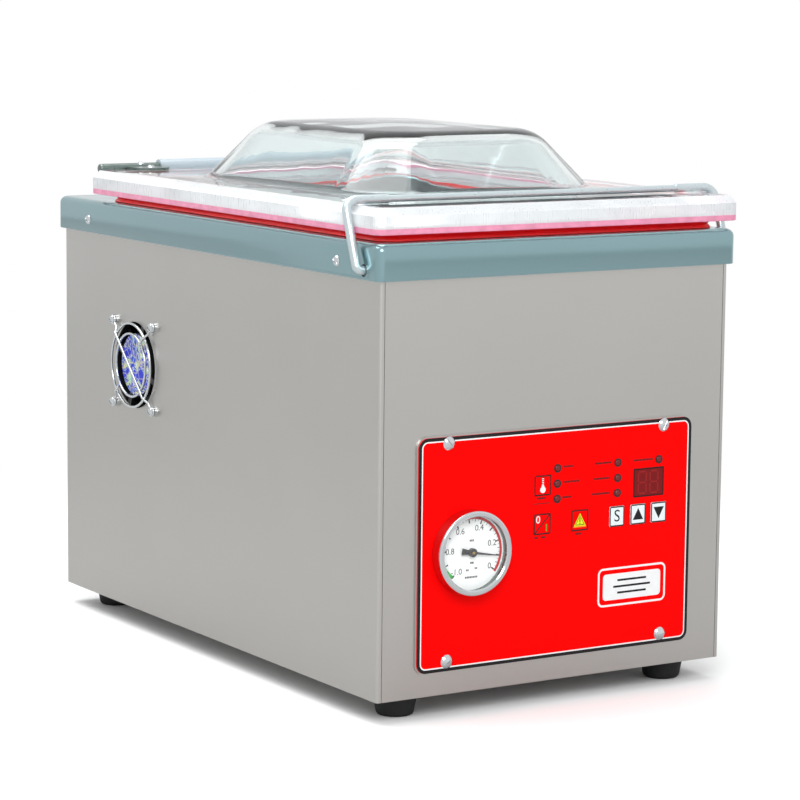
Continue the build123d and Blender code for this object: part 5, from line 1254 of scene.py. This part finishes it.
def paper():
    """White paper that fades into the page far from the machine, and is greyer in reflections."""
    material, tree, _ = blank("white_paper")
    tree.nodes.clear()
    place = add(tree, "TexCoord").outputs["Object"]
    away = add(tree, "VectorMath", {0: place}, operation="LENGTH").outputs["Value"]
    far = add(tree, "MapRange", {"Value": away, "From Min": 0.45, "From Max": 0.95}).outputs[0]
    eye = seen_straight(tree)
    near = add(tree, "BsdfDiffuse", {"Color": (0.96, 0.96, 0.96, 1)})
    page = add(tree, "Emission", {"Color": (1, 1, 1, 1), "Strength": 1.0})
    seen = add(tree, "MixShader", {0: far, 1: near.outputs[0], 2: page.outputs[0]})
    dull = add(tree, "BsdfDiffuse", {"Color": (0.5, 0.5, 0.5, 1)})
    both = add(tree, "MixShader", {0: eye, 1: dull.outputs[0], 2: seen.outputs[0]})
    add(tree, "OutputMaterial", {"Surface": both.outputs[0]})
    return material


def floor():
    """A round pale sheet: rings of points from its middle outwards, just below the feet."""
    angle = np.linspace(0, 2 * pi, 64, endpoint=False)
    radius = np.array([0.02, 0.5, 1.0, 2.2])[:, None]
    gap = 0.02 * MM
    level = np.full((len(radius), len(angle)), -gap)
    rows = np.stack([radius * np.cos(angle), radius * np.sin(angle), level], -1)
    points, faces, _ = grid(rows, wrap_columns=True, close_first=True)
    mesh = bpy.data.meshes.new("floor")
    mesh.from_pydata(points.tolist(), [], [face[::-1] for face in faces])
    mesh.materials.append(paper())
    holder = into_scene("floor", mesh)


def soft_box(name, at, size, watts):
    """A square lamp of one side's length that faces the middle of the machine."""
    data = bpy.data.lights.new(name, "AREA")
    data.shape = "RECTANGLE"
    data.size = data.size_y = size
    data.energy = watts
    holder = into_scene(name, data)
    holder.location = at
    holder.rotation_euler = (Vector(LAMPS_FACE) - Vector(at)).to_track_quat("-Z", "Y").to_euler()


def room():
    """Pale towards the front and right, greyer round the rear and left, and white to the eye."""
    world = bpy.data.worlds.new("studio")
    bpy.context.scene.world = world
    world.use_nodes = True
    tree = world.node_tree
    tree.nodes.clear()
    way = add(tree, "TexCoord").outputs["Generated"]
    facing = add(tree, "VectorMath", {0: way, 1: (-0.62, 0.72, 0.3)}, operation="DOT_PRODUCT")
    share = add(tree, "MapRange", {"Value": facing.outputs["Value"], "From Min": -0.9, "From Max": 0.7})
    tone = add(tree, "Mix", {"Factor": share.outputs[0], 6: FRONT_TONE, 7: REAR_TONE}, data_type="RGBA")
    light = add(tree, "Background", {"Color": tone.outputs[2], "Strength": 1.0})
    seen = add(tree, "Background", {"Color": (1, 1, 1, 1), "Strength": 1.0})
    eye = seen_straight(tree)
    mixed = add(tree, "MixShader", {0: eye, 1: light.outputs[0], 2: seen.outputs[0]})
    add(tree, "OutputWorld", {"Surface": mixed.outputs[0]})


# --- operators ------------------------------------------------------------------------------------------
class PACKER_OT_stage(bpy.types.Operator):
    """Sets the camera, the floor, the room's light and two soft lamps"""
    bl_idname = "packer.stage"
    bl_label = "Stage"

    def execute(self, context):
        camera()
        floor()
        room()
        for name, (at, size, watts) in LAMPS.items():
            soft_box(name, at, size, watts)
        context.scene.view_settings.view_transform = "Standard"
        return {"FINISHED"}


class PACKER_OT_frame_finishes(bpy.types.Operator):
    """Gives every carried-over node its finish"""
    bl_idname = "packer.frame_finishes"
    bl_label = "Frame finishes"

    def execute(self, context):
        for finish, nodes in CAD_FINISHES.items():
            for node in nodes:
                dress(node, finish())
        dress("hinge_shaft", turned_steel())
        dress("gauge_glass", watch_glass())
        return {"FINISHED"}


class PACKER_OT_casing(bpy.types.Operator):
    """Folds the side panels and draws the cap"""
    bl_idname = "packer.casing"
    bl_label = "Casing"

    def execute(self, context):
        side_panel(-1, "left_side_panel")
        side_panel(1, "right_side_panel")
        cap()
        return {"FINISHED"}


class PACKER_OT_feet(bpy.types.Operator):
    """Turns the four rubber feet"""
    bl_idname = "packer.feet"
    bl_label = "Feet"

    def execute(self, context):
        feet()
        return {"FINISHED"}


class PACKER_OT_lid(bpy.types.Operator):
    """Blows the clear lid"""
    bl_idname = "packer.lid"
    bl_label = "Lid"

    def execute(self, context):
        lid()
        return {"FINISHED"}


class PACKER_OT_gasket(bpy.types.Operator):
    """Lays the red gasket round the lid"""
    bl_idname = "packer.gasket"
    bl_label = "Gasket"

    def execute(self, context):
        gasket()
        return {"FINISHED"}


class PACKER_OT_hinge(bpy.types.Operator):
    """Draws the hinge's painted sleeve"""
    bl_idname = "packer.hinge"
    bl_label = "Hinge sleeve"

    def execute(self, context):
        hinge_sleeve()
        return {"FINISHED"}


class PACKER_OT_bail(bpy.types.Operator):
    """Bends the wire bail"""
    bl_idname = "packer.bail"
    bl_label = "Bail"

    def execute(self, context):
        bail()
        return {"FINISHED"}


class PACKER_OT_fan(bpy.types.Operator):
    """Makes the fan's wire guard and its label"""
    bl_idname = "packer.fan"
    bl_label = "Fan guard"

    def execute(self, context):
        fan_guard()
        fan_label()
        return {"FINISHED"}


class PACKER_OT_panel_print(bpy.types.Operator):
    """Prints the control panel and sets its lamps and display"""
    bl_idname = "packer.panel_print"
    bl_label = "Panel print"

    def execute(self, context):
        panel_print()
        display()
        lamps()
        return {"FINISHED"}


class PACKER_OT_keys(bpy.types.Operator):
    """Makes the six keys with their signs"""
    bl_idname = "packer.keys"
    bl_label = "Keys"

    def execute(self, context):
        for name in ("thermometer_key", "power_key", "stop_key"):
            key(name, red_film())
        for name in ("select_key", "up_key", "down_key"):
            key(name, key_film())
        return {"FINISHED"}


class PACKER_OT_gauge(bpy.types.Operator):
    """Turns the gauge's bezel and prints its dial"""
    bl_idname = "packer.gauge"
    bl_label = "Gauge"

    def execute(self, context):
        gauge_bezel()
        dial_print()
        needle_pin()
        return {"FINISHED"}


GROUPS = {"casing": CasingLooks, "lid": LidLooks, "wires": WireLooks, "controls": ControlLooks}
OPERATORS = (PACKER_OT_stage, PACKER_OT_frame_finishes, PACKER_OT_casing, PACKER_OT_feet, PACKER_OT_lid,
             PACKER_OT_gasket, PACKER_OT_hinge, PACKER_OT_bail, PACKER_OT_fan, PACKER_OT_panel_print,
             PACKER_OT_keys, PACKER_OT_gauge)


class PACKER_PT_sidebar(bpy.types.Panel):
    """Lists the sizes, the colours and the pieces"""
    bl_idname = "PACKER_PT_sidebar"
    bl_label = "Packer"
    bl_space_type = "VIEW_3D"
    bl_region_type = "UI"
    bl_category = "Packer"

    def draw(self, context):
        for name, group in GROUPS.items():
            box = self.layout.box()
            box.label(text=name.capitalize())
            for value in group.__annotations__:
                box.prop(getattr(context.scene, "packer_" + name), value)
        for operator in OPERATORS:
            self.layout.operator(operator.bl_idname)


def register():
    for made in (*GROUPS.values(), *OPERATORS, PACKER_PT_sidebar):
        bpy.utils.register_class(made)
    for name, group in GROUPS.items():
        setattr(bpy.types.Scene, "packer_" + name, PointerProperty(type=group))


def unregister():
    for name in GROUPS:
        delattr(bpy.types.Scene, "packer_" + name)
    for made in reversed((*GROUPS.values(), *OPERATORS, PACKER_PT_sidebar)):
        bpy.utils.unregister_class(made)


def main():
    register()
    for operator in OPERATORS:
        group, name = operator.bl_idname.split(".")
        getattr(getattr(bpy.ops, group), name)()


if __name__ == "__main__":
    main()
